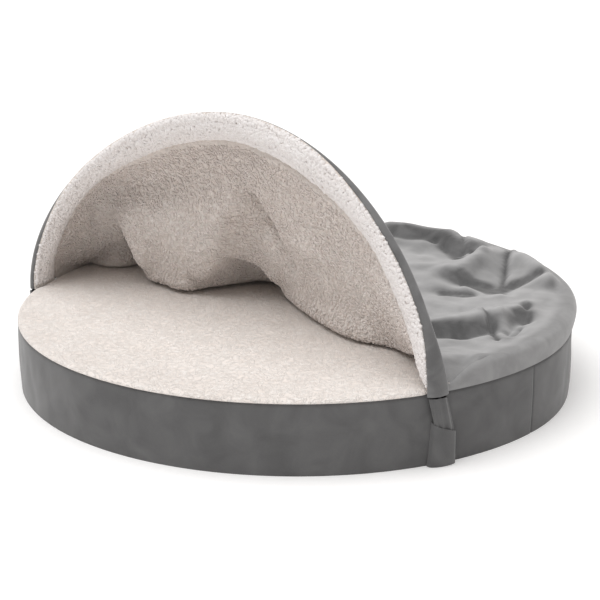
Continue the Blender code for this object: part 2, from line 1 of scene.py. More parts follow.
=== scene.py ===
"""Looks of a hooded pet bed: a round cushion with a fleece-lined blanket hood on a sprung hoop.

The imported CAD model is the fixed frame. Each cloth piece is modelled anew on its solid's shape,
finer and with its creases, and the rod keeps its CAD solid. Sizes are in metres and angles in
degrees, unless a table says millimetres. The origin is under the middle of the bed, +Z is up
and the hood opens towards -Y.
"""

from __future__ import annotations

import json
import logging
import math
from dataclasses import dataclass
from enum import Enum, IntEnum

import bpy
import numpy as np
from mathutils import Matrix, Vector

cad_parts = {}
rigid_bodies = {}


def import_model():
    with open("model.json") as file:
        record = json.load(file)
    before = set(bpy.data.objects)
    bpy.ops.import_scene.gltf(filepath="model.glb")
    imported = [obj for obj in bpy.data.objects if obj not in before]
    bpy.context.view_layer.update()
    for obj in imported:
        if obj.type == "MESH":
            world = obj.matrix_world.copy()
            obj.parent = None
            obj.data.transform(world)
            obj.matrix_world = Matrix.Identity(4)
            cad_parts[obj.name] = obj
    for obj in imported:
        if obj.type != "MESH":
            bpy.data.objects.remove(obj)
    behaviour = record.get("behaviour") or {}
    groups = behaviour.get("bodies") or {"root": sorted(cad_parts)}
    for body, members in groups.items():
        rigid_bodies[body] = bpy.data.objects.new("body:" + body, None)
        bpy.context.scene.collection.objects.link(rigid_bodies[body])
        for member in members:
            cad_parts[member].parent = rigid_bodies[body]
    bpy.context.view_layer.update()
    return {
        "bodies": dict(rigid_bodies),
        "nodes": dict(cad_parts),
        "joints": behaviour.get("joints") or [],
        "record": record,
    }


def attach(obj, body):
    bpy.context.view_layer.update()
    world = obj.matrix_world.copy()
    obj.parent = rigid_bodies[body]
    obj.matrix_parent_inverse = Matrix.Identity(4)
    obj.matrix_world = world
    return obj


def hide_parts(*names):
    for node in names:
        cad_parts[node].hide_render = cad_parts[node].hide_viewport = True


LOG = logging.getLogger("pet_bed")
MM = 0.001
CLOTH_GAP = 0.0003  # between two pieces that touch
BACK = 90.0  # heading of +Y
WAVE_PACES = (0.45, 1.25)  # slowest and quickest wave of an unevenness, against its own pace
SHARP_EDGE = 62.0  # degrees between faces past which an edge is shaded sharp
PAINTED_SHADING = "painted_shading"  # attribute: painted light and shade on the cover, 0 shaded to 1 lit
WHITE = (1.0, 1.0, 1.0)
Grid = np.ndarray
Socket = bpy.types.NodeSocket


# ---------------------------------------------------------------- named choices


class Slot(Enum):
    """Names of the record's material slots, kept on the blanket's cloths."""

    SHERPA = "sherpa"
    SUEDE = "suede"
    BASE_CLOTH = "base_cloth"


class Side(Enum):
    """The two cloths of the blanket: which way each lies from its middle surface."""

    COVER = 1.0
    LINING = -1.0


class End(Enum):
    """The hoop's two ends: which way each lies along X."""

    LEFT = -1
    RIGHT = 1


class Step(Enum):
    """Arithmetic steps of the finishes."""

    ADD = "ADD"
    SUBTRACT = "SUBTRACT"
    MULTIPLY = "MULTIPLY"
    ABSOLUTE = "ABSOLUTE"


class Pattern(Enum):
    """Seed of each soft unevenness, so that every run gives the same one."""

    CRUMPLE = 3
    PILE = 4
    BUCKLE = 5
    RIPPLE = 6
    SEAT = 8


class Column(IntEnum):
    """Where the blanket's sections hold each value, after the place; x is before y."""

    SEAM = 0
    SLANT = 1
    CHANNEL = 2
    TILT = 3
    RIM = 4
    MIDDLE = 5
    WAIST = 7
    FOOT = 9
    LIFT = 11
    LIP = 12
    RECESS = 13


# ---------------------------------------------------------------- helpers


def smoothstep(value: Grid) -> Grid:
    """Ease from 0 to 1 as value runs from 0 to 1."""
    value = np.clip(value, 0.0, 1.0)
    return value * value * (3.0 - 2.0 * value)


def unit(vector: Grid) -> Grid:
    """Scale vectors to length 1."""
    return vector / np.maximum(np.linalg.norm(vector, axis=-1, keepdims=True), 1e-12)


def at(plan: Grid, height: Grid) -> Grid:
    """Lift plan points to the given heights."""
    return np.concatenate([plan, np.broadcast_to(height, plan.shape[:1])[:, None]], axis=1)


def around(radius: Grid, angle: Grid, height: Grid) -> Grid:
    """Points round the bed's upright axis, angles in radians."""
    return np.stack(np.broadcast_arrays(radius * np.cos(angle), radius * np.sin(angle), height), axis=-1)


def degrees_off(angle: Grid, heading: float) -> Grid:
    """Degrees between angles in radians and a heading in degrees."""
    return np.abs((np.degrees(angle) - heading + 180.0) % 360.0 - 180.0)


def plan_distance(grid: Grid, place: Grid) -> Grid:
    """Distance in plan of each point of a grid from its line's place."""
    return np.hypot(*np.moveaxis(grid[:, :, :2] - place, 2, 0))


def ridge_sum(first: Grid, second: Grid, rows: tuple) -> Grid:
    """Sum a table of soft ridges.

    Args:
        first: first coordinate of the points, in metres.
        second: their second coordinate.
        rows: (from_a, from_b, to_a, to_b, rise, spread) in millimetres; a negative rise is a trough.

    Returns:
        The rise at each point, in metres.
    """
    total = np.zeros(np.broadcast(first, second).shape)
    for from_a, from_b, to_a, to_b, rise, spread in np.array(rows) * MM:
        run_a, run_b = to_a - from_a, to_b - from_b
        length = run_a * run_a + run_b * run_b
        share = np.clip(((first - from_a) * run_a + (second - from_b) * run_b) / length, 0.0, 1.0)
        off = np.hypot(first - from_a - share * run_a, second - from_b - share * run_b)
        total += rise * np.exp(-((off / spread) ** 2))
    return total


def soft_noise(points: Grid, size: float, pattern: Pattern, waves: int = 28) -> Grid:
    """Smooth even unevenness in space, about -1 to 1.

    Args:
        points: places, the last axis x, y, z.
        size: length of one bump, in metres.
        pattern: which one.
        waves: how many plane waves are summed.

    Returns:
        One value for each place.
    """
    random = np.random.RandomState(pattern.value)
    heading = unit(random.normal(size=(waves, 3)))
    pace = 2.0 * math.pi / size * random.uniform(*WAVE_PACES, waves)
    phase = random.uniform(0.0, 2.0 * math.pi, waves)
    total = np.zeros(points.shape[:-1])
    for direction, rate, start in zip(heading, pace, phase):
        total += np.sin(points @ direction * rate + start)
    return total / math.sqrt(waves)


def b_spline(controls: Grid, shares: Grid) -> Grid:
    """Points of a clamped uniform cubic B-spline.

    Args:
        controls: (lines, controls, 3).
        shares: places along each line, 0 to 1.

    Returns:
        (lines, shares, 3) points.
    """
    count = controls.shape[1]
    knots = np.concatenate([[0.0] * 3, np.linspace(0.0, 1.0, count - 2), [1.0] * 3])
    basis = np.zeros((len(shares), count + 3))
    for row, share in enumerate(shares):
        span = min(np.searchsorted(knots, share, side="right") - 1, count - 1)
        basis[row, span] = 1.0
    for degree in (1, 2, 3):
        for index in range(count + 3 - degree):
            left = knots[index + degree] - knots[index]
            last = index + degree + 1 >= len(knots)
            right = 0.0 if last else knots[index + degree + 1] - knots[index + 1]
            value = np.zeros(len(shares))
            if left > 0.0:
                value += (shares - knots[index]) / left * basis[:, index]
            if right > 0.0:
                value += (knots[index + degree + 1] - shares) / right * basis[:, index + 1]
            basis[:, index] = value
    return np.einsum("sc,lcd->lsd", basis[:, :count], controls)


def steps(rows: tuple) -> Grid:
    """Places from a table of (from, to, count) runs, each run evenly spaced."""
    runs = [np.linspace(first, last, count + 1)[1:] for first, last, count in rows]
    return np.concatenate([[rows[0][0]], *runs])


def grid_faces(rows: int, columns: int, first: int = 0, turned: bool = False) -> Grid:
    """Four-sided faces of a grid of vertices numbered row by row.

    Args:
        rows: vertices one way.
        columns: vertices the other way.
        first: number of the first vertex.
        turned: face the other way.

    Returns:
        (faces, 4) vertex numbers.
    """
    number = first + np.arange(rows * columns).reshape(rows, columns)
    loops = np.stack([number[:-1, :-1], number[1:, :-1], number[1:, 1:], number[:-1, 1:]], axis=2)
    loops = loops.reshape(-1, 4)
    return loops[:, ::-1] if turned else loops


def ring_faces(number: Grid) -> Grid:
    """Four-sided faces between rings of vertices, given by their numbers ring by ring."""
    after = np.roll(number, -1, axis=1)
    return np.stack([number[:-1], after[:-1], after[1:], number[1:]], axis=2).reshape(-1, 4)


def mesh_object(name: str, points: Grid, faces: Grid | list, look: bpy.types.Material) -> bpy.types.Object:
    """Make a smooth mesh object at the origin.

    Args:
        name: the object's name.
        points: (n, 3) vertices.
        faces: vertex numbers of each face, counter-clockwise from outside.
        look: its material.

    Returns:
        The new object.
    """
    mesh = bpy.data.meshes.new(name)
    mesh.from_pydata(points.tolist(), [], [list(map(int, face)) for face in faces])
    mesh.materials.append(look)
    mesh.validate()
    mesh.shade_smooth()
    mesh.set_sharp_from_angle(angle=math.radians(SHARP_EDGE))
    made = bpy.data.objects.new(name, mesh)
    bpy.context.scene.collection.objects.link(made)
    return made


def closed_sheet(name: str, inner: Grid, outer: Grid, look: bpy.types.Material) -> bpy.types.Object:
    """Closed sheet of cloth between two grids of the same size.

    Args:
        name: the object's name.
        inner: (rows, columns, 3) points of the face that cross(row, column) looks away from.
        outer: points of the face it looks towards.
        look: its material.

    Returns:
        The new object.
    """
    rows, columns = inner.shape[:2]
    count = rows * columns
    faces = [*grid_faces(rows, columns, 0, True), *grid_faces(rows, columns, count)]
    number = np.arange(count).reshape(rows, columns)
    edge = np.concatenate([number[:, 0], number[-1, 1:], number[-2::-1, -1], number[0, -2:0:-1]])
    after = np.roll(edge, -1)
    faces += list(np.stack([edge, after, after + count, edge + count], axis=1))
    return mesh_object(name, np.concatenate([inner.reshape(-1, 3), outer.reshape(-1, 3)]), faces, look)


def ringed_solid(name: str, rings: Grid, look: bpy.types.Material) -> bpy.types.Object:
    """Closed round solid through rings of points.

    Args:
        name: the object's name.
        rings: (rings, points, 3), out from the middle of the base, up and in to the middle of
            the top, each ring counter-clockwise from above.
        look: its material.

    Returns:
        The new object.
    """
    number = np.arange(rings.shape[0] * rings.shape[1]).reshape(rings.shape[:2])
    faces = [*ring_faces(number), number[0, ::-1], number[-1]]
    return mesh_object(name, rings.reshape(-1, 3), faces, look)


def declare(made: bpy.types.Object, node: str) -> None:
    """Put a piece in its CAD node's place.

    Args:
        made: the piece.
        node: the CAD node that it replaces.
    """
    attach(made, "root")
    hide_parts(node)


# ---------------------------------------------------------------- finishes


class Shader:
    """One new material with a Principled surface, and short ways to add nodes to it."""

    def __init__(self, name: str, roughness: float) -> None:
        """Make the material.

        Args:
            name: the material's name.
            roughness: its surface roughness.
        """
        self.material = bpy.data.materials.new(name)
        self.material.use_nodes = True
        self.tree = self.material.node_tree
        self.surface = self.tree.nodes["Principled BSDF"]
        self.surface.inputs["Roughness"].default_value = roughness
        self.place = self.tree.nodes.new("ShaderNodeTexCoord").outputs["Object"]

    def link(self, source: Socket, target: Socket) -> None:
        """Join two sockets."""
        self.tree.links.new(source, target)

    def attribute(self, name: str) -> Socket:
        """Read one of the mesh's own values.

        Args:
            name: the attribute's name.

        Returns:
            Its value.
        """
        made = self.tree.nodes.new("ShaderNodeAttribute")
        made.attribute_name = name
        return made.outputs["Fac"]

    def height(self) -> Socket:
        """Read the height above the ground.

        Returns:
            The height, in metres.
        """
        made = self.tree.nodes.new("ShaderNodeSeparateXYZ")
        self.link(self.place, made.inputs["Vector"])
        return made.outputs["Z"]

    def noise(self, size: float, detail: float = 3.0, distortion: float = 0.0) -> Socket:
        """Add a noise of a given bump size.

        Args:
            size: length of one bump, in metres.
            detail: octaves of finer noise.
            distortion: how far it is curled.

        Returns:
            Its value, about 0 to 1.
        """
        made = self.tree.nodes.new("ShaderNodeTexNoise")
        made.inputs["Scale"].default_value = 1.0 / size
        made.inputs["Detail"].default_value = detail
        made.inputs["Distortion"].default_value = distortion
        self.link(self.place, made.inputs["Vector"])
        return made.outputs["Fac"]

    def remap(self, value: Socket, low: float, high: float, to_low: float = 0.0,
              to_high: float = 1.0) -> Socket:
        """Stretch a value from one range to another, clamped.

        Args:
            value: the value.
            low: where its range starts.
            high: where its range ends.
            to_low: what the start becomes.
            to_high: what the end becomes.

        Returns:
            The stretched value.
        """
        made = self.tree.nodes.new("ShaderNodeMapRange")
        for socket, number in zip(made.inputs[1:5], (low, high, to_low, to_high)):
            socket.default_value = number
        self.link(value, made.inputs["Value"])
        return made.outputs["Result"]

    def arithmetic(self, kind: Step, first: Socket, second: Socket | float = 0.0) -> Socket:
        """Add one arithmetic step.

        Args:
            kind: the step.
            first: its first value.
            second: its second value, or a plain number.

        Returns:
            The result.
        """
        made = self.tree.nodes.new("ShaderNodeMath")
        made.operation = kind.value
        self.link(first, made.inputs[0])
        if isinstance(second, float):
            made.inputs[1].default_value = second
        else:
            self.link(second, made.inputs[1])
        return made.outputs["Value"]

    def weigh(self, first: Socket, share: float, second: Socket, other_share: float) -> Socket:
        """Add two values by their shares.

        Args:
            first: the first value.
            share: how much of it is taken.
            second: the second value.
            other_share: how much of that is taken.

        Returns:
            The sum.
        """
        part = self.arithmetic(Step.MULTIPLY, first, share)
        other_part = self.arithmetic(Step.MULTIPLY, second, other_share)
        return self.arithmetic(Step.ADD, part, other_part)

    def blend(self, share: Socket, low: tuple, high: tuple) -> None:
        """Colour the surface between two colours by a value.

        Args:
            share: the value, 0 to 1.
            low: colour at 0.
            high: colour at 1.
        """
        made = self.tree.nodes.new("ShaderNodeMix")
        made.data_type = "RGBA"
        colours = [socket for socket in made.inputs if socket.type == "RGBA"]
        colours[0].default_value = (*low, 1.0)
        colours[1].default_value = (*high, 1.0)
        self.link(share, made.inputs["Factor"])
        result = [socket for socket in made.outputs if socket.type == "RGBA"][0]
        self.link(result, self.surface.inputs["Base Color"])

    def bump(self, height: Socket, distance: float, strength: float) -> None:
        """Raise the surface by a value.

        Args:
            height: the value.
            distance: metres from 0 to 1 of it.
            strength: how far the raised shape shows.
        """
        made = self.tree.nodes.new("ShaderNodeBump")
        made.inputs["Distance"].default_value = distance
        made.inputs["Strength"].default_value = strength
        self.link(height, made.inputs["Height"])
        self.link(made.outputs["Normal"], self.surface.inputs["Normal"])

    def sheen(self, weight: float, roughness: float, tint: tuple) -> None:
        """Give the surface a nap that lightens at a glancing view.

        Args:
            weight: how strong it is.
            roughness: how wide it spreads.
            tint: its colour.
        """
        self.surface.inputs["Sheen Weight"].default_value = weight
        self.surface.inputs["Sheen Roughness"].default_value = roughness
        self.surface.inputs["Sheen Tint"].default_value = (*tint, 1.0)


@dataclass(frozen=True)
class FleeceFinish:
    """Cream long-pile fleece: curled locks with painted shade in the gaps, and painted shade towards the
    hood's top.
    """

    name: str = "cream_sherpa"
    light: tuple = (0.92, 0.88, 0.845)
    shade: tuple = (0.80, 0.73, 0.68)
    strength: float = 0.8
    painted_top_shade: float = 0.55
    painted_shade_from: float = 0.24
    painted_shade_to: float = 0.38
    curl: float = 0.0085
    curled: float = 1.2
    lock: float = 0.085
    depth: float = 0.0022
    lump: float = 0.007
    lump_range: tuple = (0.3, 0.7)
    lump_share: float = 0.4
    patch: float = 0.06
    patch_range: tuple = (0.35, 0.65)
    patch_share: float = 0.12
    painted_gap_shade: float = 0.6
    full_tone: float = 0.55
    roughness: float = 0.95
    sheen: float = 0.3
    sheen_roughness: float = 0.5
    sheen_tint: tuple = (1.0, 0.97, 0.95)

    def build(self) -> bpy.types.Material:
        """Make the material.

        Returns:
            The fleece material.
        """
        shader = Shader(self.name, self.roughness)
        curls = shader.noise(self.curl, detail=1.0, distortion=self.curled)
        away = shader.arithmetic(Step.ABSOLUTE, shader.arithmetic(Step.SUBTRACT, curls, 0.5))
        locks = shader.remap(away, 0.0, self.lock, 1.0, 0.0)
        lumps = shader.remap(shader.noise(self.lump, detail=2.0, distortion=0.5), *self.lump_range)
        height = shader.weigh(locks, 1.0 - self.lump_share, lumps, self.lump_share)
        patches = shader.remap(shader.noise(self.patch, detail=2.0), *self.patch_range)
        # painted shade: the gaps between the locks take the darker colour
        tone = shader.weigh(height, self.painted_gap_shade, patches, self.patch_share)
        tone = shader.remap(tone, 0.0, self.full_tone)
        # painted shade: the fleece is darker towards the hood's top
        painted_shade = shader.remap(shader.height(), self.painted_shade_from, self.painted_shade_to, 0.0, self.painted_top_shade)
        shader.blend(shader.arithmetic(Step.SUBTRACT, tone, painted_shade), self.shade, self.light)
        shader.bump(height, self.depth, self.strength)
        shader.sheen(self.sheen, self.sheen_roughness, self.sheen_tint)
        return shader.material


@dataclass(frozen=True)
class SuedeFinish:
    """Grey brushed cloth that lightens at a glancing view and is rubbed in soft patches.

    A share of its tone is painted light and shade, read from a value on the mesh.
    """

    name: str = "grey_suede"
    light: tuple = (0.158, 0.158, 0.159)
    shade: tuple = (0.100, 0.100, 0.101)
    sheen: float = 0.35
    sheen_roughness: float = 0.45
    painted_share: float = 0.0
    patch: float = 0.05
    patch_range: tuple = (0.32, 0.68)
    patch_share: float = 0.7
    grain: float = 0.0016
    depth: float = 0.0005
    strength: float = 0.35
    roughness: float = 0.8
    specular: float = 0.2

    def build(self) -> bpy.types.Material:
        """Make the material.

        Returns:
            The suede material.
        """
        shader = Shader(self.name, self.roughness)
        patches = shader.remap(shader.noise(self.patch, detail=4.0, distortion=0.6), *self.patch_range)
        grain = shader.noise(self.grain, detail=2.0)
        tone = shader.weigh(patches, self.patch_share, grain, 1.0 - self.patch_share)
        # painted light and shade read from the mesh's own value
        if self.painted_share:
            tone = shader.weigh(tone, 1.0 - self.painted_share, shader.attribute(PAINTED_SHADING), self.painted_share)
        shader.blend(tone, self.shade, self.light)
        shader.bump(grain, self.depth, self.strength)
        shader.surface.inputs["Specular IOR Level"].default_value = self.specular
        shader.sheen(self.sheen, self.sheen_roughness, WHITE)
        return shader.material


@dataclass(frozen=True)
class PlainFinish:
    """A plain surface of one colour with a faint grain."""

    name: str
    colour: tuple
    roughness: float
    glow: float = 0.0
    grain: float = 0.004
    darker: float = 0.9

    def build(self) -> bpy.types.Material:
        """Make the material.

        Returns:
            The plain material.
        """
        shader = Shader(self.name, self.roughness)
        shade = tuple(self.darker * value for value in self.colour)
        shader.blend(shader.noise(self.grain), shade, self.colour)
        shader.surface.inputs["Emission Color"].default_value = (*WHITE, 1.0)
        shader.surface.inputs["Emission Strength"].default_value = self.glow
        return shader.material


BAND_SUEDE = SuedeFinish()
# The cover's suede is a lighter copy of the band's, painted light for its top; most of its tone is painted
# light and shade read from the cover's mesh.
PAINTED_COVER_SUEDE = SuedeFinish("grey_suede_painted_light_and_shade", (0.50, 0.50, 0.503), (0.070, 0.070, 0.071), sheen=0.4,
                          painted_share=0.78, patch=0.03)
BASE_CLOTH = PlainFinish("grey_base_cloth", (0.05, 0.05, 0.05), 0.9)
DARK_ROD = PlainFinish("dark_spring_rod", (0.03, 0.03, 0.032), 0.4)
PALE_FLOOR = PlainFinish("floor", (0.97, 0.97, 0.97), 0.9, glow=0.14)

# The facing's locks beside the rod are painted whiter than the curtain's, as painted light on the facing, and
# get no painted shade towards the top.
GROUND_FLEECE = FleeceFinish()
PAINTED_FACING_FLEECE = FleeceFinish("facing_sherpa_painted_light", (0.95, 0.925, 0.92), (0.85, 0.81, 0.795), strength=0.25,
                             painted_top_shade=0.0)
CURTAIN_FLEECE = FleeceFinish("cream_curtain_sherpa", (0.95, 0.893, 0.858), (0.74, 0.665, 0.625),
                              strength=0.60)


# ---------------------------------------------------------------- shapes shared by the pieces


@dataclass(frozen=True)
class BedShape:
    """Outline of the round cushion and its top panel, read by every piece that lies on it."""

    radius: float = 0.4445
    seam_height: float = 0.1063
    band_thickness: float = 0.002
    band_bulge: float = 0.0012
    fill_gap: float = 0.0008
    panel_thickness: float = 0.005
    panel_edge_round: float = 0.009
    panel_step: float = 0.0074
    panel_narrow_reach: float = 118.0
    panel_narrow_fade: float = 3.0
    seat_crown: float = 0.003
    base_round: float = 0.006
    side_tuck: float = 0.008
    side_tuck_angle: float = 40.0
    side_tuck_reach: float = 38.0

    def rim_radius(self, angle: Grid) -> Grid:
        """Plan radius of the rim at angles in radians."""
        away = degrees_off(angle, self.side_tuck_angle)
        return self.radius - self.side_tuck * smoothstep(1.0 - away / self.side_tuck_reach)

    def panel_radius(self, angle: Grid) -> Grid:
        """Plan radius of the top panel, which stops short where the blanket is sewn on."""
        sewn = smoothstep((self.panel_narrow_reach - degrees_off(angle, BACK)) / self.panel_narrow_fade)
        return self.rim_radius(angle) - CLOTH_GAP - self.panel_step * sewn

    def panel_under(self, share: Grid) -> Grid:
        """Height of the top panel's underside at a share of the rim's radius."""
        return self.seam_height + CLOTH_GAP + self.seat_crown * (1.0 - share**4)

    def seat_height(self, x: Grid, y: Grid) -> Grid:
        """Height of the top panel's upper face, falling round its edge.

        Args:
            x: x of the places.
            y: y of the places.

        Returns:
            One height for each place.
        """
        angle, radius = np.arctan2(y, x), np.hypot(x, y)
        share = np.clip(radius / self.rim_radius(angle), 0.0, 1.0)
        inside = np.clip((self.panel_radius(angle) - radius) / self.panel_edge_round, 0.0, 1.0)
        return self.panel_under(share) + self.panel_thickness * np.sqrt(1.0 - (1.0 - inside) ** 2)


@dataclass(frozen=True)
class Hoop:
    """Centre line of the sprung rod, from its left foot over the mouth to its right foot."""

    bed: BedShape
    standoff: float = 0.0067
    end_angle: float = -25.35
    rise: float = 0.3265
    width_power: float = 1.043
    rise_power: float = 1.14
    bow: float = 0.0616
    lean: float = -0.040
    slope_step: float = 0.002

    def point(self, place: Grid) -> Grid:
        """Centre of the rod.

        Args:
            place: shares of the hoop from its left foot.

        Returns:
            One point for each place.
        """
        place = np.asarray(place, dtype=float)
        end = math.radians(self.end_angle)
        reach = self.bed.radius + self.standoff
        turn = math.pi * (1.0 - place)
        across, up = np.cos(turn), np.abs(np.sin(turn))
        rise = self.rise * up**self.rise_power
        x = reach * math.cos(end) * np.sign(across) * np.abs(across) ** self.width_power
        y = reach * math.sin(end) + self.lean * rise + self.bow * up * up
        return np.stack([x, y, self.bed.seam_height + rise], axis=-1)

    def frames(self, places: Grid, slant: Grid) -> tuple[Grid, Grid, Grid, Grid]:
        """Directions at places along the rod.

        Args:
            places: shares of the hoop.
            slant: turn of the channel from the hoop's plane towards the back, degrees.

        Returns:
            Centres, directions along the rod, into the channel, and to its rear.
        """
        ahead = self.point(np.clip(places + self.slope_step, 0.0, 1.0))
        along = unit(ahead - self.point(np.clip(places - self.slope_step, 0.0, 1.0)))
        inward = unit(np.cross([0.0, 1.0, 0.0], along))
        rear = np.cross(along, inward)
        turned = np.radians(slant)[:, None]
        into = inward * np.cos(turned) + rear * np.sin(turned)
        return self.point(places), along, into, np.cross(along, into)


@dataclass(frozen=True)
class Blanket:
    """Middle surface of the double blanket, from the stitch behind the rod to the rim seam.

    The columns of its sections are:
        place: share of the hoop from its left foot.
        seam: where round the rod the two cloths meet, degrees inwards from the front.
        slant: turn of the channel towards the back, degrees.
        channel: from the rod to the stitch, mm.
        tilt: turn of the channel upwards, degrees.
        rim: where the line ends, degrees along the rim from -X.
        mid_x, mid_y: where the cloth hangs at half height, mm in plan.
        waist_x, waist_y: where it hangs low down.
        foot_x, foot_y: where it meets the seat.
        lift: how far the foot is off the seat, mm.
        lip: height at which the cloth turns back under itself, mm, or 0.
        recess: how far it goes back there, mm.
    """

    bed: BedShape
    hoop: Hoop
    rim_inset: float = 0.0024

    # The hanging part: shares of its drop, and how a lip changes its control points.
    least_drop: float = 0.0005
    first_fall: float = 0.35
    longest_fall: float = 0.07
    hang_shares: tuple = (0.55, 0.25, 0.17, 0.10)
    turn_share: float = 0.45
    under_share: float = 0.75
    lip_full: float = 0.045
    lip_turn: float = 0.010
    lip_rise: float = 0.25
    lip_under: float = 0.8
    lip_turned: float = 0.42
    lip_reached: float = 0.05

    # The lying part: shares from the foot to the rim, and how it puffs up from the seat.
    lying_shares: tuple = (0.10, 0.22, 0.36, 0.50, 0.64, 0.78)
    edge_share: float = 0.86
    foot_clearance: float = 0.0043
    short_reach: float = 0.003
    long_reach: float = 0.012
    edge_round: float = 0.016
    edge_narrow: float = 0.12
    edge_least: float = 0.002
    loft: float = 0.013
    least_loft: float = 0.002
    edge_loft: float = 0.007
    edge_reach: float = 0.06
    loft_reach: float = 0.075

    # Where the lying part's folds and creases begin and end.
    foot_share: float = 0.36
    fold_start: float = 0.02
    fold_fade: float = 0.03
    crease_inset: float = 0.004
    crease_fade: float = 0.022
    crumple: float = 0.0011
    crumple_size: float = 0.055
    backing_drop: float = 0.0008
    backing_depth: float = 1.15
    backing_spread: float = 1.5

    # Where the hanging part's folds begin and end.
    hang_from: float = 0.045
    hang_fade: float = 0.04
    hang_back: float = 0.08
    hang_back_fade: float = 0.03
    end_fade: float = 0.10
    stitch_fade: float = 0.08

    sections = (
        # place seam slant channel tilt rim mid_x mid_y waist_x waist_y foot_x foot_y lift lip recess
        (0.000, -66, 103, 59, 0, -17.7, -421, -136, -421, -135, -421, -134, -2, 0, 0),
        (0.030, -68, 101, 50, 1, -15.0, -422, -132, -425, -122, -427, -114, 5, 0, 0),
        (0.055, -66, 98, 46, 2, -12.3, -418, -126, -425, -108, -432, -94, 6, 0, 0),
        (0.080, -65, 94, 44, 1, -9.0, -410, -116, -417, -90, -436, -71, 6, 0, 0),
        (0.110, -70, 91, 43, 0, -4.5, -398, -107, -406, -76, -426, -50, 2, 18, 8),
        (0.140, -84, 90, 43, 0, 1.0, -382, -101, -388, -68, -400, -51, 0, 34, 20),
        (0.170, -104, 89, 43, 0, 8.0, -386, -98, -370, -62, -376, -51, 0, 46, 24),
        (0.200, -122, 86, 43, 0, 16.0, -374, -100, -345, -56, -353, -38, 0, 54, 26),
        (0.235, -130, 78, 43, 0, 24.0, -350, -104, -312, -58, -344, -2, 0, 60, 8),
        (0.270, -126, 66, 43, 0, 33.0, -308, -106, -274, -92, -292, -36, 0, 50, 0),
        (0.305, -118, 54, 43, 0, 41.0, -262, -110, -248, -98, -266, -66, 0, 22, 0),
        (0.350, -114, 44, 43, 0, 51.0, -200, -107, -226, -92, -222, -80, 0, 0, 0),
        (0.400, -110, 37, 43, 0, 61.6, -147, -106, -176, -92, -168, -86, 0, 2, 0),
        (0.440, -106, 33, 43, 0, 70.4, -101, -104, -136, -90, -158, -58, 0, 26, 0),
        (0.480, -106, 28, 43, 0, 79.4, -67, -98, -106, -80, -136, -20, 0, 52, 0),
        (0.520, -104, 21, 43, 0, 88.4, -39, -90, -82, -62, -114, 22, 0, 74, 0),
        (0.560, -98, 14, 43, 0, 97.6, -2, -80, -50, -30, -66, 34, 0, 50, 0),
        (0.600, -94, 11, 43, 0, 106.8, 56, -94, 14, -48, 8, -24, 0, 6, 0),
        (0.650, -75, 11, 43, 0, 118.5, 126, -107, 96, -74, 112, -82, 0, 0, 0),
        (0.710, -50, 17, 43, 0, 132.7, 197, -121, 176, -96, 188, -108, 0, 0, 0),
        (0.760, -34, 21, 43, 0, 144.7, 240, -128, 218, -104, 224, -104, 0, 0, 0),
        (0.810, -24, 18, 43, 0, 156.8, 281, -137, 262, -112, 260, -98, 2, 0, 0),
        (0.860, -13, 19, 43, 0, 169.0, 317, -149, 304, -130, 298, -118, 10, 0, 0),
        (0.910, -4, 22, 43, 1, 181.4, 347, -162, 342, -152, 334, -142, 22, 0, 0),
        (0.955, 18, 23, 35, 10, 192.6, 372, -175, 373, -171, 368, -160, 28, 0, 0),
        (0.980, 34, 24, 23, 28, 198.8, 388, -181, 389, -178, 386, -169, 18, 0, 0),
        (1.000, 45, 24, 14, 45, 203.8, 399, -187, 400, -184, 400, -181, 3, 0, 0),
    )

    # Puffs and hollows where the blanket lies on the seat, seen from above, mm.
    folds = (
        # from_x from_y to_x to_y rise spread
        (-110, 415, 80, 405, 10, 34),
        (-60, 345, 60, 335, -9, 34),
        (60, 232, 114, 275, 4, 22),
        (128, 240, 148, 398, 12, 26),
        (165, 370, 310, 285, 12, 26),
        (130, 405, 250, 205, -9, 16),
        (176, 210, 240, 222, -8, 30),
        (176, 147, 227, 189, -8, 26),
        (277, -15, 338, 128, 13, 24),
        (342, 112, 368, 52, -12, 16),
        (291, -30, 340, 18, -7, 22),
        (-250, 300, -120, 180, 9, 30),
        (-300, 120, -160, 130, 10, 34),
        (-60, 130, -20, 260, -7, 34),
        (-350, 40, -330, 180, -8, 26),
    )

    # Sharper creases, darts and crests between them, seen from above, mm.
    creases = (
        # from_x from_y to_x to_y rise spread
        (-112, 412, -20, 432, 6, 13),
        (-20, 432, 70, 388, 6, 13),
        (-85, 380, -5, 394, -8, 13),
        (-5, 394, 78, 345, -8, 12),
        (-27, 470, 44, 408, -4, 6),
        (44, 408, 78, 362, -6, 5),
        (91, 366, 116, 360, -5, 5),
        (156, 225, 128, 338, 7, 13),
        (128, 338, 124, 420, 6, 12),
        (165, 325, 235, 380, 5, 26),
        (235, 345, 305, 290, 6, 24),
        (138, 416, 205, 292, -7, 5.5),
        (205, 292, 246, 212, -7, 5.5),
        (165, 226, 232, 228, -10, 12),
        (232, 228, 272, 298, -8, 11),
        (183, 152, 214, 176, -9, 10),
        (190, 200, 262, 188, 6, 12),
        (262, 11, 298, 76, 3, 10),
        (298, 76, 318, 175, 4, 10),
        (300, 88, 342, 42, -6, 6),
        (342, 42, 378, 2, -6, 6),
        (318, 100, 360, 50, 4, 6),
        (331, 158, 366, 104, -9, 9),
        (371, 74, 382, 31, -8, 8),
        (294, -32, 328, -22, -5, 12),
        (328, -22, 340, 22, -5, 11),
        (350, -122, 412, -100, 5, 15),
        (408, -171, 443, -182, 5, 11),
        (426, -112, 444, -160, -6, 5),
        (-330, 200, -240, 330, -6, 9),
        (-240, 330, -200, 350, -5, 8),
        (-350, 90, -270, 70, -7, 11),
        (-260, 210, -170, 120, 6, 14),
        (-180, 300, -120, 260, -6, 10),
        (-40, 200, 30, 120, -5, 12),
        (60, 90, 120, 140, 5, 16),
    )
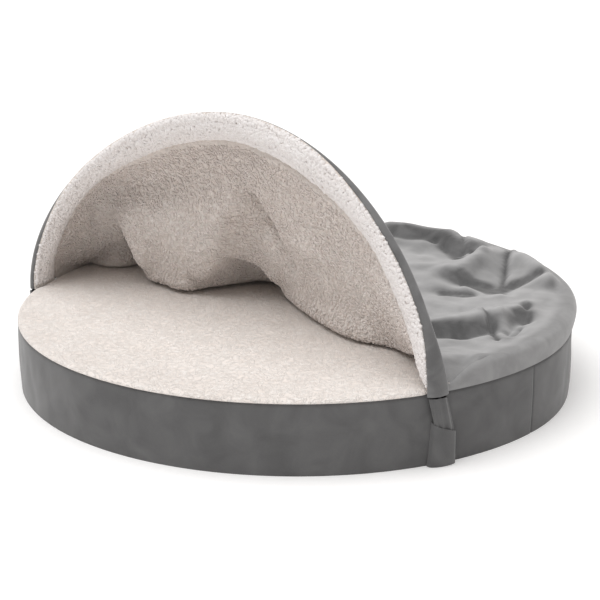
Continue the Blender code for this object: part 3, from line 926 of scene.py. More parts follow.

    # Sharp darts pinched in the cover, mm; painted shade on the cover is darkest along them.
    darts = (
        # from_x from_y to_x to_y rise spread
        (-27, 462, 10, 436, -0.9, 3.2),
        (10, 436, 44, 408, -1.0, 3.2),
        (44, 408, 78, 362, -1.0, 3.2),
        (90, 366, 116, 360, -1.0, 3.2),
        (138, 414, 205, 292, -1.0, 3.4),
        (205, 292, 246, 212, -1.0, 3.4),
        (300, 84, 342, 42, -0.8, 3.2),
        (342, 42, 377, 3, -0.8, 3.2),
        (426, -115, 444, -160, -0.8, 3.2),
    )

    # Painted shade darkening the lying cover's hollows, and painted light on one wall, mm; tone in
    # thousandths.
    painted_shading_marks = (
        # from_x from_y to_x to_y tone spread
        (-85, 392, 0, 408, -260, 15),
        (0, 408, 74, 352, -280, 15),
        (164, 225, 218, 217, -360, 15),
        (218, 217, 232, 250, -360, 13),
        (199, 133, 214, 174, -320, 13),
        (339, 148, 361, 106, -460, 12),
        (387, 33, 391, 11, -380, 12),
        (303, -36, 322, 5, -220, 13),
        (336, 59, 372, 0, -220, 8),
        (268, 0, 318, 60, 330, 20),
        (425, -112, 444, -160, -260, 6),
    )

    # Long soft folds of the hanging part, seen from the front, mm.
    curtain_folds = (
        # from_x from_z to_x to_z rise spread
        (-34, 340, -12, 300, -14, 15),
        (-12, 300, 8, 255, -17, 17),
        (8, 255, 44, 200, -15, 20),
        (-60, 345, -50, 280, 9, 15),
        (-76, 260, -80, 190, 8, 26),
        (64, 312, 104, 250, 10, 28),
        (118, 230, 122, 180, 7, 34),
        (-330, 290, -318, 200, -9, 24),
        (-244, 320, -262, 240, 8, 30),
        (-214, 310, -236, 220, -6, 18),
        (150, 290, 236, 240, -6, 24),
        (250, 250, 262, 170, -6, 30),
        (180, 320, 262, 262, 5, 20),
    )

    def values(self, places: Grid) -> Grid:
        """Interpolate the table of sections smoothly.

        Args:
            places: shares of the hoop.

        Returns:
            (places, columns) values, in the table's units.
        """
        table = np.array(self.sections, dtype=float)
        known, values = table[:, 0], table[:, 1:]
        slopes = np.gradient(values, known, axis=0)
        index = np.clip(np.searchsorted(known, places, side="right") - 1, 0, len(known) - 2)
        step = (known[index + 1] - known[index])[:, None]
        share = ((places - known[index])[:, None]) / step
        start, end = values[index], values[index + 1]
        lean = (slopes[index] * step - (end - start)) * (1.0 - share)
        lean -= (slopes[index + 1] * step - (end - start)) * share
        return start + (end - start) * share + share * (1.0 - share) * lean

    def column(self, places: Grid, column: Column) -> Grid:
        """One value of the sections at each place, in the table's units."""
        return self.values(places)[:, column]

    def plan_points(self, places: Grid, column: Column) -> Grid:
        """Plan points of the cloth's middle, waist or foot at each place."""
        return self.values(places)[:, column:column + 2] * MM

    def stitch_line(self, places: Grid) -> tuple[Grid, Grid, Grid]:
        """Where the channel is closed behind the rod.

        Args:
            places: shares of the hoop.

        Returns:
            Its points, the directions away from the rod, and the cloth's normals there.
        """
        centre, along, into, _ = self.hoop.frames(places, self.column(places, Column.SLANT))
        width = self.column(places, Column.CHANNEL)[:, None] * MM
        tilt = np.radians(self.column(places, Column.TILT))[:, None]
        leaning = unit(into * np.cos(tilt) + np.array([0.0, 0.0, 1.0]) * np.sin(tilt))
        return centre + leaning * width, leaning, unit(np.cross(along, leaning))

    def lying_height(self, plan: Grid, from_foot: Grid, from_rim: Grid, lift: Grid) -> Grid:
        """Height of the middle surface where it lies on the seat, before its folds.

        Args:
            plan: plan points.
            from_foot: their distances from the cloth's foot.
            from_rim: their distances from the rim.
            lift: how far the cloth is at least off the seat.

        Returns:
            One height for each point.
        """
        loft = self.loft + self.edge_loft * np.exp(-((from_rim / self.edge_reach) ** 2))
        risen = loft * smoothstep(from_foot / self.loft_reach)
        return self.bed.seat_height(*plan.T) + self.foot_clearance + np.maximum(risen, lift)

    def rim_points(self, places: Grid) -> tuple[Grid, Grid]:
        """Where the lines end on the rim.

        Args:
            places: shares of the hoop.

        Returns:
            Plan points, and the unit rays from the middle to them.
        """
        angle = math.pi - np.radians(self.column(places, Column.RIM))
        ray = np.stack([np.cos(angle), np.sin(angle)], axis=1)
        return ray * (self.bed.rim_radius(angle) - self.rim_inset)[:, None], ray

    def hanging_points(self, places: Grid, foot_z: Grid) -> list[Grid]:
        """Control points of the lines from the stitch to the foot.

        Args:
            places: shares of the hoop.
            foot_z: height of each line's foot.

        Returns:
            Seven sets of (places, 3) points.
        """
        middle = self.plan_points(places, Column.MIDDLE)
        waist = self.plan_points(places, Column.WAIST)
        foot = self.plan_points(places, Column.FOOT)
        lip = self.column(places, Column.LIP) * MM
        recess = self.column(places, Column.RECESS)[:, None] * MM * np.array([0.0, 1.0])
        stitch, leaning, _ = self.stitch_line(places)

        drop = np.maximum(stitch[:, 2] - foot_z, self.least_drop)
        fall = np.minimum(self.first_fall * drop, self.longest_fall)[:, None]
        tuck = smoothstep(lip / self.lip_full)
        middle_up, waist_up, turn_up, under_up = (share * drop for share in self.hang_shares)
        middle_up = middle_up + self.lip_rise * tuck * lip
        waist_up = waist_up + tuck * (lip + self.lip_turn - waist_up)
        turn_up = turn_up + tuck * (lip - turn_up)
        under_up = under_up + tuck * (self.lip_under * lip - under_up)
        turn = (self.turn_share - self.lip_turned * tuck)[:, None]
        under = (self.under_share + self.lip_reached * tuck)[:, None]
        return [
            stitch,
            stitch + leaning * fall,
            at(middle, foot_z + middle_up),
            at(waist, foot_z + waist_up),
            at(waist + turn * (foot - waist), foot_z + turn_up),
            at(waist + under * (foot - waist) + tuck[:, None] * recess, foot_z + under_up),
            at(foot, foot_z),
        ]

    def controls(self, places: Grid) -> Grid:
        """Control points of the lines from the stitch to the rim seam.

        Args:
            places: shares of the hoop.

        Returns:
            (places, 17, 3) points.
        """
        foot = self.plan_points(places, Column.FOOT)
        lift = self.column(places, Column.LIFT) * MM
        rim, ray = self.rim_points(places)
        gap = np.hypot(*(rim - foot).T)
        room = smoothstep((gap - self.short_reach) / (self.long_reach - self.short_reach))

        low = self.bed.seam_height + CLOTH_GAP
        foot_z = self.bed.seat_height(*foot.T) + self.foot_clearance + lift
        controls = self.hanging_points(places, foot_z)
        for share in self.lying_shares:
            plan = foot + (rim - foot) * share
            lying = self.lying_height(plan, share * gap, (1.0 - share) * gap, lift * (1.0 - share))
            falling = foot_z + (low - foot_z) * share
            controls.append(at(plan, falling + room * (lying - falling)))
        narrow = np.minimum(self.edge_round, self.edge_narrow * gap + self.edge_least)
        inner = rim - ray * (narrow * room)[:, None]
        over = rim + (ray * (self.bed.radius - self.rim_inset) - rim) * room[:, None]
        edge_top = self.lying_height(inner, gap * room, 0.0, 0.0)
        falling = foot_z + (low - foot_z) * self.edge_share
        edge_top = falling + room * (edge_top - falling)
        controls += [at(inner, edge_top), at(over, edge_top), at(over, 0.5 * (low + edge_top)), at(rim, low)]
        return np.stack(controls, axis=1)

    def relief(self, x: Grid, y: Grid, side: Side) -> Grid:
        """Rise of the creases; under the cover the lining keeps below them.

        Args:
            x: x of the places.
            y: y of the places.
            side: the cloth.

        Returns:
            One rise for each place.
        """
        if side is Side.COVER:
            return ridge_sum(x, y, self.creases) + ridge_sum(x, y, self.darts)
        troughs = [(*row[:4], self.backing_depth * row[4], self.backing_spread * row[5])
                   for row in self.creases if row[4] < 0]
        return ridge_sum(x, y, troughs) - self.backing_drop

    def surface(self, places: Grid, shares: Grid, side: Side) -> tuple[Grid, Grid]:
        """Middle surface with its folds, as one of the two cloths follows it.

        Args:
            places: shares of the hoop.
            shares: shares of each line, from the stitch to the rim.
            side: the cloth.

        Returns:
            (places, shares, 3) points, and unit normals towards the cover.
        """
        grid = b_spline(self.controls(places), shares)
        x, y, z = np.moveaxis(grid, 2, 0)

        from_foot = plan_distance(grid, self.plan_points(places, Column.FOOT)[:, None])
        from_rim = plan_distance(grid, self.rim_points(places)[0][:, None])
        lying = smoothstep((shares - self.foot_share) / self.fold_start)[None, :]
        lying = lying * smoothstep(from_foot / self.loft_reach) * smoothstep(from_rim / self.fold_fade)
        crumple = self.crumple * soft_noise(grid * (1.0, 1.0, 0.0), self.crumple_size, Pattern.CRUMPLE)
        puffs = ridge_sum(x, y, self.folds) + crumple
        puffs += smoothstep((from_rim - self.crease_inset) / self.crease_fade) * self.relief(x, y, side)
        puffs = np.maximum(puffs, self.least_loft - self.loft)

        hanging = smoothstep((z - self.bed.seam_height - self.hang_from) / self.hang_fade)
        hanging = hanging * (1.0 - smoothstep((y - self.hang_back) / self.hang_back_fade))
        from_end = smoothstep(np.minimum(places, 1.0 - places) / self.end_fade)[:, None]
        from_stitch = smoothstep(shares / self.stitch_fade)[None, :]
        sway = ridge_sum(x, z, self.curtain_folds) * hanging * from_end * from_stitch

        grid = np.stack([x, y - sway, z + lying * puffs], axis=2)
        return grid, self.normals(grid, places, shares)

    def normals(self, grid: Grid, places: Grid, shares: Grid) -> Grid:
        """Unit normals of a surface grid, towards the cover.

        Args:
            grid: (places, shares, 3) points.
            places: shares of the hoop.
            shares: shares of each line.

        Returns:
            (places, shares, 3) normals, level along the rim.
        """
        normal = unit(np.cross(np.gradient(grid, places, axis=0), np.gradient(grid, shares, axis=1)))
        normal[:, 0] = unit(normal[:, 0] + self.stitch_line(places)[2])
        normal[:, -1] = unit(normal[:, -1] * (1.0, 1.0, 0.0))
        return normal


# ---------------------------------------------------------------- the blanket hood


@dataclass(frozen=True)
class FleeceLocks:
    """Curled locks standing on part of a fleece, one shape modelled once and copied."""

    name: str
    finish: FleeceFinish
    lines: tuple
    columns: tuple
    spacing: float
    length: float
    width: float
    height: float
    sunk: float
    tilt: float
    seed: int
    uneven: float = 0.3
    jitter: float = 0.4
    bend: float = 0.35

    def lock(self) -> tuple[Grid, Grid]:
        """Model one lock, lying along +X on the XY plane.

        Returns:
            Its vertices and its three-sided faces.
        """
        bpy.ops.object.select_all(action="DESELECT")
        bpy.ops.mesh.primitive_ico_sphere_add(subdivisions=1, radius=0.5)
        bpy.ops.object.mode_set(mode="EDIT")
        bpy.ops.mesh.select_all(action="SELECT")
        bpy.ops.transform.resize(value=(self.length, self.width, self.height))
        bpy.ops.object.mode_set(mode="OBJECT")
        shape = bpy.context.object
        points = np.array([vertex.co[:] for vertex in shape.data.vertices])
        faces = np.array([face.vertices[:] for face in shape.data.polygons])
        bpy.data.objects.remove(shape)
        points[:, 1] += self.bend * points[:, 0] ** 2 / (0.5 * self.length)
        return points, faces

    def build(self, cloth: Grid, away: float) -> bpy.types.Object:
        """Copy the lock evenly over a grid of the cloth's face.

        Args:
            cloth: (lines, points, 3) face of the whole cloth.
            away: which side of the grid is the fleece, 1 or -1.

        Returns:
            The joined locks.
        """
        random = np.random.RandomState(self.seed)
        grid = cloth[slice(*self.lines), slice(*self.columns)]
        corner = grid[:-1, :-1].reshape(-1, 3)
        side_a = grid[1:, :-1].reshape(-1, 3) - corner
        side_b = grid[:-1, 1:].reshape(-1, 3) - corner
        facing = np.cross(side_a, side_b)
        total = np.cumsum(np.linalg.norm(facing, axis=1))
        marks = np.arange(0.5, total[-1] / self.spacing**2)
        marks = marks + random.uniform(-self.jitter, self.jitter, len(marks))
        cell = np.clip(np.searchsorted(total, marks * self.spacing**2), 0, len(total) - 1)
        along, across = random.uniform(0.0, 1.0, (2, len(cell), 1))
        start = corner[cell] + along * side_a[cell] + across * side_b[cell]

        up = unit(away * unit(facing)[cell] + random.normal(0.0, self.tilt, (len(cell), 3)))
        forward = unit(np.cross(up, random.normal(size=(len(cell), 3))))
        frame = np.stack([forward, np.cross(up, forward), up], axis=1)
        size = random.uniform(1.0 - self.uneven, 1.0 + self.uneven, (len(cell), 1, 1))
        points, loops = self.lock()
        copies = (start + up * self.sunk * self.height)[:, None] + size * (points @ frame)
        faces = loops[None] + (np.arange(len(cell)) * len(points))[:, None, None]
        made = mesh_object(self.name, copies.reshape(-1, 3), faces.reshape(-1, 3), self.finish.build())
        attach(made, "root")
        return made


@dataclass(frozen=True)
class BlanketCloth:
    """One of the blanket's two cloths: round the rod, along the channel, down and over the bed."""

    blanket: Blanket
    side: Side
    name: str
    slot: Slot
    flat: tuple
    area: float
    thickness: float
    tube_radius: float
    tube_rows: int
    channel_puff: float
    line_steps: tuple
    row_steps: tuple
    groove: float = 0.0
    pile: float = 0.0
    locks: tuple = ()

    # Round the rod, from the seam of the two cloths; degrees.
    rear_angle: float = 188.0
    front_angle: float = 8.0
    lining_wrap: float = 18.0
    seam_gap: float = 5.0
    right_flare: float = 1.2
    right_flare_from: float = 0.87

    # The puffed channel, the groove of its stitches and the fleece's pile.
    channel_rows: int = 9
    puff_share: float = 0.30
    puff_power: float = 0.7
    groove_width: float = 0.0035
    pile_size: float = 0.016
    pile_fade: float = 0.03

    # Painted light and shade on the cover: its level, and how slopes, creases, edges, the foot's crevice and
    # the hanging part make it darker or lighter.
    painted_heading: tuple = (-0.62, 0.78, 0.0)
    painted_level: float = 0.78
    painted_slope: float = 1.75
    painted_crest: float = 0.50
    painted_depth: float = 0.008
    painted_dart: float = 0.95
    painted_edge: float = 0.27
    painted_rim: float = 0.020
    painted_crevice: float = 0.028
    painted_hood: float = 0.15
    painted_back: float = 0.42
    crest_limit: float = 0.4
    lying_from: float = 0.02
    lying_fade: float = 0.08
    back_from: float = 0.05
    back_fade: float = 0.10

    def tube(self, places: Grid, turns: Grid, radius: float) -> Grid:
        """Points of the cloth where it goes round the rod.

        Args:
            places: shares of the hoop.
            turns: (places, turns) angles round the rod, degrees inwards from the front.
            radius: from the rod's centre to the cloth's face.

        Returns:
            (places, turns, 3) points.
        """
        centre, _, into, side = self.blanket.hoop.frames(places, self.blanket.column(places, Column.SLANT))
        angle = np.radians(turns)[:, :, None]
        near_end = (places - self.right_flare_from) / (1.0 - self.right_flare_from)
        flare = 1.0 + self.right_flare * smoothstep(near_end)
        spokes = into[:, None] * np.sin(angle) - side[:, None] * np.cos(angle) * flare[:, None, None]
        return centre[:, None] + radius * spokes

    def turns(self, places: Grid) -> Grid:
        """Angles round the rod that this cloth covers, from the seam to where it leaves the rod.

        Args:
            places: shares of the hoop.

        Returns:
            (places, turns) angles, degrees inwards from the front.
        """
        seam = self.blanket.column(places, Column.SEAM)[:, None]
        share = np.linspace(0.0, 1.0, self.tube_rows)[None, :]
        if self.side is Side.COVER:
            return seam + (-self.rear_angle - seam) * share
        seam = seam + self.seam_gap
        return seam + (np.maximum(self.front_angle, seam + self.lining_wrap) - seam) * share

    def channel(self, start: Grid, end: Grid, outward: Grid, height: float) -> Grid:
        """Puffed strip from the rod's tube to the stitch line.

        Args:
            start: (places, 3) points where the cloth leaves the tube.
            end: points of the stitch line.
            outward: unit directions that the strip puffs towards.
            height: rise of the puff at its middle.

        Returns:
            (places, rows, 3) points between the two, ends left out.
        """
        share = np.linspace(0.0, 1.0, self.channel_rows + 2)[1:-1][None, :, None]
        line = start[:, None] + (end - start)[:, None] * share
        width = np.linalg.norm(end - start, axis=1)[:, None, None]
        rise = np.minimum(height, self.puff_share * width) * np.sin(math.pi * share) ** self.puff_power
        return line + outward[:, None] * rise

    def painted_shading(self, face: Grid, places: Grid, shares: Grid) -> Grid:
        """Painted light and shade at each point: darker on slopes, in creases and darts, at the rim, in the
        crevice at the foot and on the hanging part.

        Args:
            face: (lines, points, 3) outer face.
            places: shares of the hoop that the lines stand at.
            shares: shares of the points past the stitch.

        Returns:
            (lines, points) values from 0 to 1.
        """
        blanket = self.blanket
        x, y, _ = np.moveaxis(face, 2, 0)
        inland = smoothstep((blanket.bed.radius - self.painted_rim - np.hypot(x, y)) / self.painted_rim)
        normal = unit(np.cross(np.gradient(face, axis=0), np.gradient(face, axis=1)))
        slope = self.painted_slope * (normal @ np.array(self.painted_heading))
        relief = blanket.relief(x, y, self.side)
        crest = self.painted_crest * np.minimum(relief / self.painted_depth, self.crest_limit)
        dart = self.painted_dart * ridge_sum(x, y, blanket.darts) / MM
        painted_shading_marks = ridge_sum(x, y, blanket.painted_shading_marks)
        # painted light and shade: darker on slopes turned from the heading, in troughs, darts and marked
        # hollows, lighter on crests, darker at the rim
        tone = self.painted_level + (slope + crest + dart + painted_shading_marks) * inland - self.painted_edge * (1.0 - inland)

        from_foot = plan_distance(face, blanket.plan_points(places, Column.FOOT)[:, None])
        lying = np.zeros(face.shape[1])
        back = np.zeros(face.shape[1])
        lying[-len(shares):] = smoothstep((shares - blanket.foot_share - self.lying_from) / self.lying_fade)
        back[-len(shares):] = smoothstep((shares - self.back_from) / self.back_fade)
        # painted shade on the hanging part and in the crevice at the foot
        hood = self.painted_hood + (self.painted_back - self.painted_hood) * back[None, :]
        lying = lying[None, :] * smoothstep(from_foot / self.painted_crevice)
        return np.clip(hood + (tone - hood) * lying, 0.0, 1.0)

    def build(self, look: bpy.types.Material) -> bpy.types.Object:
        """Args:
            look: its material.

        Returns:
            The finished sheet.
        """
        places = steps(self.line_steps)
        shares = steps(self.row_steps)
        grid, normal = self.blanket.surface(places, shares, self.side)
        away = self.side.value
        turns = self.turns(places)
        runs = np.linalg.norm(np.diff(grid, axis=1), axis=2)
        from_stitch = np.concatenate([np.zeros((len(places), 1)), np.cumsum(runs, axis=1)], axis=1)
        sunk = self.groove * np.exp(-((from_stitch / self.groove_width) ** 2))
        rough = self.pile * soft_noise(grid, self.pile_size, Pattern.PILE)
        rough = rough * smoothstep((1.0 - shares) / self.pile_fade)
        faces = []
        for offset, fine in ((0.0, 0.0), (self.thickness, 1.0)):
            tube = self.tube(places, turns, self.tube_radius + offset)
            raised = 0.5 * CLOTH_GAP + offset + fine * (rough - sunk)
            face = grid + away * normal * raised[:, :, None]
            puff = self.channel(tube[:, -1], face[:, 0], away * normal[:, 0], fine * self.channel_puff)
            faces.append(np.concatenate([tube, puff, face], axis=1))
        inner, outer = faces
        if self.side is Side.COVER:
            made = closed_sheet(f"{self.name}_soft", inner, outer, look)
            # painted light and shade, kept on the cover's mesh for its material
            painted_shading = self.painted_shading(outer, places, shares)
            made.data.attributes.new(PAINTED_SHADING, "FLOAT", "POINT").data.foreach_set("value", np.tile(painted_shading.ravel(), 2))
        else:
            made = closed_sheet(f"{self.name}_soft", outer, inner, look)
        declare(made, self.name)
        locks = [row.build(outer, away) for row in self.locks]
        return made


# How the two cloths' lines are spread along the hoop, closer where the folds show.
COVER_LINES = (
    # from_place to_place steps
    (0.00, 0.12, 40),
    (0.12, 0.44, 40),
    (0.44, 0.90, 120),
    (0.90, 1.00, 24),
)
LINING_LINES = (
    # from_place to_place steps
    (0.00, 0.12, 40),
    (0.12, 0.32, 64),
    (0.32, 0.42, 20),
    (0.42, 0.62, 52),
    (0.62, 0.90, 48),
    (0.90, 1.00, 26),
)

# How their points are spread along each line, from the stitch to the rim.
COVER_ROWS = (
    # from_share to_share steps
    (0.00, 0.36, 54),
    (0.36, 1.00, 138),
)
LINING_ROWS = (
    # from_share to_share steps
    (0.000, 0.012, 12),
    (0.012, 0.400, 92),
    (0.400, 1.000, 60),
)

# Lines and columns say which part of the lining's grid the locks stand on.
FACING_LOCKS = FleeceLocks("facing_locks", PAINTED_FACING_FLEECE, lines=(5, -5), columns=(2, 17), spacing=0.0029,
                           length=0.0080, width=0.0056, height=0.0046, sunk=0.10, tilt=0.14, seed=2)
CURTAIN_LOCKS = FleeceLocks("curtain_locks", CURTAIN_FLEECE, lines=(16, -9), columns=(20, 112),
                            spacing=0.0046, length=0.0068, width=0.0034, height=0.0030, sunk=0.2, tilt=0.2,
                            seed=3)


# ---------------------------------------------------------------- the cushion


@dataclass(frozen=True)
class Filling:
    """Filled cushion inside the side band, with its flat base cloth."""

    bed: BedShape
    steps: int = 180
    base_shares: tuple = (0.02, 0.25, 0.5, 0.75, 0.95)
    corner_turns: tuple = (0.0, 30.0, 60.0, 90.0)
    side_shares: tuple = (0.2, 0.35, 0.5, 0.65, 0.8, 0.94)
    top_shares: tuple = (1.0, 0.93, 0.85, 0.7, 0.55, 0.4, 0.2, 0.02)

    def build(self, look: bpy.types.Material) -> bpy.types.Object:
        """Args:
            look: its material.

        Returns:
            The padded cushion.
        """
        bed = self.bed
        angles = np.linspace(0.0, 2.0 * math.pi, self.steps, endpoint=False)
        side = bed.rim_radius(angles) - bed.band_thickness - bed.fill_gap
        top = side - bed.panel_step
        rings = [(side * share, 0.0) for share in self.base_shares]
        for turn in np.radians(self.corner_turns):
            radius = side - bed.band_bulge - bed.base_round * (1 - math.sin(turn))
            rings.append((radius, bed.base_round * (1 - math.cos(turn))))
        for share in self.side_shares:
            rings.append((side - bed.band_bulge * (1 - math.sin(math.pi * share)), bed.seam_height * share))
        for share in self.top_shares:
            rings.append((top * share, float(bed.panel_under(share)) - CLOTH_GAP))
        points = np.array([around(radius, angles, height) for radius, height in rings])
        made = ringed_solid("mattress_soft", points, look)
        declare(made, "mattress")
        return made


@dataclass(frozen=True)
class SeatTop:
    """Round fleece top panel with a soft rounded edge."""

    bed: BedShape
    steps: int = 420
    rows: int = 90
    under_shares: tuple = (0.02, 0.3, 0.6, 0.85, 0.97, 1.0)
    edge_rows: tuple = (0.08, 1.0, 14)
    row_ends: tuple = (0.995, 0.02)
    pile: float = 0.0004
    pile_size: float = 0.05

    def build(self, look: bpy.types.Material) -> bpy.types.Object:
        """Args:
            look: its material.

        Returns:
            The finished sheet.
        """
        bed = self.bed
        angles = np.linspace(0.0, 2.0 * math.pi, self.steps, endpoint=False)
        edge, rim = bed.panel_radius(angles), bed.rim_radius(angles)
        rings = [(edge * share, bed.panel_under(share * edge / rim)) for share in self.under_shares]
        for share in np.linspace(*self.edge_rows):
            radius = edge - bed.panel_edge_round * (1.0 - math.sqrt(1.0 - share**2))
            rings.append((radius, bed.panel_under(radius / rim) + bed.panel_thickness * share))
        for share in np.linspace(*self.row_ends, self.rows):
            radius = (edge - bed.panel_edge_round) * share
            rings.append((radius, bed.seat_height(radius * np.cos(angles), radius * np.sin(angles))))
        points = np.array([around(radius, angles, height) for radius, height in rings])
        top = slice(len(self.under_shares), None)
        points[top, :, 2] += self.pile * soft_noise(points[top], self.pile_size, Pattern.SEAT)
        made = ringed_solid("seat_panel_soft", points, look)
        declare(made, "seat_panel")
        return made


@dataclass(frozen=True)
class SideBand:
    """Half of the suede side band, softly buckled, from one upright seam to the other."""

    bed: BedShape
    name: str
    first_angle: float
    spread: tuple = ((0.0, 0.008, 7), (0.008, 0.992, 226), (0.992, 1.0, 7))
    rows: int = 28
    tuck: float = 0.0016
    tuck_reach: float = 0.0028
    seam_depth: float = 0.0013
    seam_reach: float = 0.0016
    seam_fade: float = 0.03
    edge_power: float = 0.6
    buckle: float = 0.0007
    buckle_size: float = 0.09
    buckle_flatness: float = 0.6
    ripple: float = 0.0003
    ripple_size: float = 0.03

    def build(self, look: bpy.types.Material) -> bpy.types.Object:
        """Args:
            look: its material.

        Returns:
            The finished sheet.
        """
        bed = self.bed
        shares = steps(self.spread)
        angles = np.radians(self.first_angle + 180.0 * shares)
        angles[0] += CLOTH_GAP / bed.radius
        top = bed.seam_height - CLOTH_GAP
        heights = (0.5 - 0.5 * np.cos(np.linspace(0.0, math.pi, self.rows))) * top
        level = heights / top
        bulge = bed.band_bulge * (1.0 - (2.0 * level - 1.0) ** 2)
        from_seam = math.pi * bed.radius * np.minimum(shares, 1.0 - shares)[:, None]
        fade = smoothstep(from_seam / self.seam_fade) * np.sin(math.pi * level)[None, :] ** self.edge_power
        tucked = self.tuck * np.exp(-(((top - heights) / self.tuck_reach) ** 2))[None, :]
        seam = self.seam_depth * np.exp(-((from_seam / self.seam_reach) ** 2))
        faces = []
        for depth, fine in ((bed.band_thickness, 0.0), (0.0, 1.0)):
            radius = bed.rim_radius(angles)[:, None] - bed.band_bulge + bulge[None, :] - depth
            plain = around(radius, angles[:, None], heights)
            buckled = soft_noise(plain * (1.0, 1.0, self.buckle_flatness), self.buckle_size, Pattern.BUCKLE)
            uneven = self.buckle * buckled + self.ripple * soft_noise(plain, self.ripple_size, Pattern.RIPPLE)
            radius = radius + fine * (uneven * fade - np.maximum(tucked, seam))
            faces.append(around(radius, angles[:, None], heights))
        made = closed_sheet(f"{self.name}_soft", *faces, look)
        declare(made, self.name)
        return made


# ---------------------------------------------------------------- the hoop's ends


@dataclass(frozen=True)
class HoopEnd:
    """Where one end of the hoop comes down beside the rim."""

    hoop: Hoop
    side: End

    def directions(self) -> tuple[Grid, Grid]:
        """Directions at the foot.

        Returns:
            The outward and the sideways unit direction.
        """
        angle = math.radians(self.hoop.end_angle)
        outward = np.array([self.side.value * math.cos(angle), math.sin(angle), 0.0])
        return outward, np.array([-outward[1], outward[0], 0.0])


@dataclass(frozen=True)
class RodSleeve:
    """Flat cloth sleeve round the rod's lower end, leaning back into its pocket."""

    end: HoopEnd
    name: str
    half_width: float = 0.0142
    half_depth: float = 0.0061
    wall: float = 0.0014
    top: float = 0.1030
    bottom: float = 0.026
    lean: float = 0.012
    lean_from: float = 0.056
    squareness: float = 0.8
    girth: float = 4.4  # flat width, in half widths
    rows: int = 48
    steps: int = 96

    # Long soft folds down the sleeve: angles round it, degrees; rise, mm; spread, degrees.
    folds = (
        # top_turn foot_turn rise spread
        (62, 74, 1.1, 9),
        (84, 92, -1.3, 7),
        (104, 110, 1.0, 8),
        (128, 118, -0.9, 9),
        (35, 48, -0.8, 9),
    )

    def build(self, look: bpy.types.Material) -> bpy.types.Object:
        """Args:
            look: its material.

        Returns:
            The finished sheet.
        """
        outward, sideways = self.end.directions()
        heights = np.linspace(self.bottom, self.top, self.rows)[:, None]
        down = (self.top - heights) / (self.top - self.bottom)
        turns = np.linspace(0.0, 2.0 * math.pi, self.steps, endpoint=False)[None, :]
        reach = self.end.hoop.bed.radius + self.end.hoop.standoff
        shift = self.lean * np.clip((self.top - heights) / (self.top - self.lean_from), 0.0, 1.0)
        folded = np.zeros((self.rows, self.steps))
        for top_turn, foot_turn, rise, spread in self.folds:
            off = np.degrees(turns) - (top_turn + (foot_turn - top_turn) * down)
            folded += MM * rise * np.exp(-((off / spread) ** 2))
        walls = []
        for inset, fine in ((0.0, 1.0), (self.wall, 0.0)):
            across = np.sign(np.cos(turns)) * np.abs(np.cos(turns)) ** self.squareness
            across = (self.half_width - inset) * across + self.end.side.value * shift
            out = (self.half_depth - inset) * np.sin(turns) + fine * folded
            wall = outward * (reach + out[:, :, None]) + sideways * across[:, :, None]
            wall[:, :, 2] += heights
            walls.append(wall.reshape(-1, 3))
        number = np.arange(self.rows * self.steps).reshape(self.rows, self.steps)
        under = number + self.rows * self.steps
        outside = ring_faces(number)
        inside = ring_faces(under)[:, ::-1]
        low = ring_faces(np.stack([under[0], number[0]]))
        high = ring_faces(np.stack([number[-1], under[-1]]))
        faces = np.concatenate([outside, inside, low, high])
        made = mesh_object(f"{self.name}_soft", np.concatenate(walls), faces, look)
        declare(made, self.name)
        return made


@dataclass(frozen=True)
class PatchPocket:
    """Patch pocket sewn on the band that holds the sleeve's end."""

    end: HoopEnd
    name: str
    top: float = 0.056
    bottom: float = 0.0004
    top_half_width: float = 0.0185
    bottom_half_width: float = 0.0225
    side_curve: float = 0.7
    top_shift: float = 0.0125
    bottom_shift: float = 0.011
    depth: float = 0.0156
    fullness: float = 0.6
    wall: float = 0.0016
    mouth_slope: float = -0.009
    foot_pinch: float = 0.0035
    foot_power: int = 3
    girth: float = 2.6  # flat width, in half widths at the foot
    rows: int = 44
    columns: int = 60

    def build(self, look: bpy.types.Material) -> bpy.types.Object:
        """Args:
            look: its material.

        Returns:
            The finished sheet.
        """
        outward, sideways = self.end.directions()
        shares = np.linspace(-1.0, 1.0, self.columns)[:, None]
        up = np.linspace(0.0, 1.0, self.rows)[None, :]
        side = self.end.side.value
        slant = self.mouth_slope * side * shares * up
        heights = self.bottom + (self.top - self.bottom) * up + slant
        half = self.bottom_half_width + (self.top_half_width - self.bottom_half_width) * up**self.side_curve
        shift = side * (self.bottom_shift + (self.top_shift - self.bottom_shift) * up)
        full = np.maximum(np.cos(0.5 * math.pi * shares), 0.0) ** self.fullness
        band = self.end.hoop.bed.radius + CLOTH_GAP
        faces = []
        for inset in (self.wall, 0.0):
            across = shift + (half - inset) * np.sin(0.5 * math.pi * shares)
            depth = (self.depth - inset - self.foot_pinch * (1.0 - up) ** self.foot_power) * full
            radius = np.sqrt(band**2 - across**2) + depth
            face = outward * radius[:, :, None] + sideways * across[:, :, None]
            face[:, :, 2] += heights
            faces.append(face)
        made = closed_sheet(f"{self.name}_soft", *faces, look)
        declare(made, self.name)
        return made


# ---------------------------------------------------------------- the studio


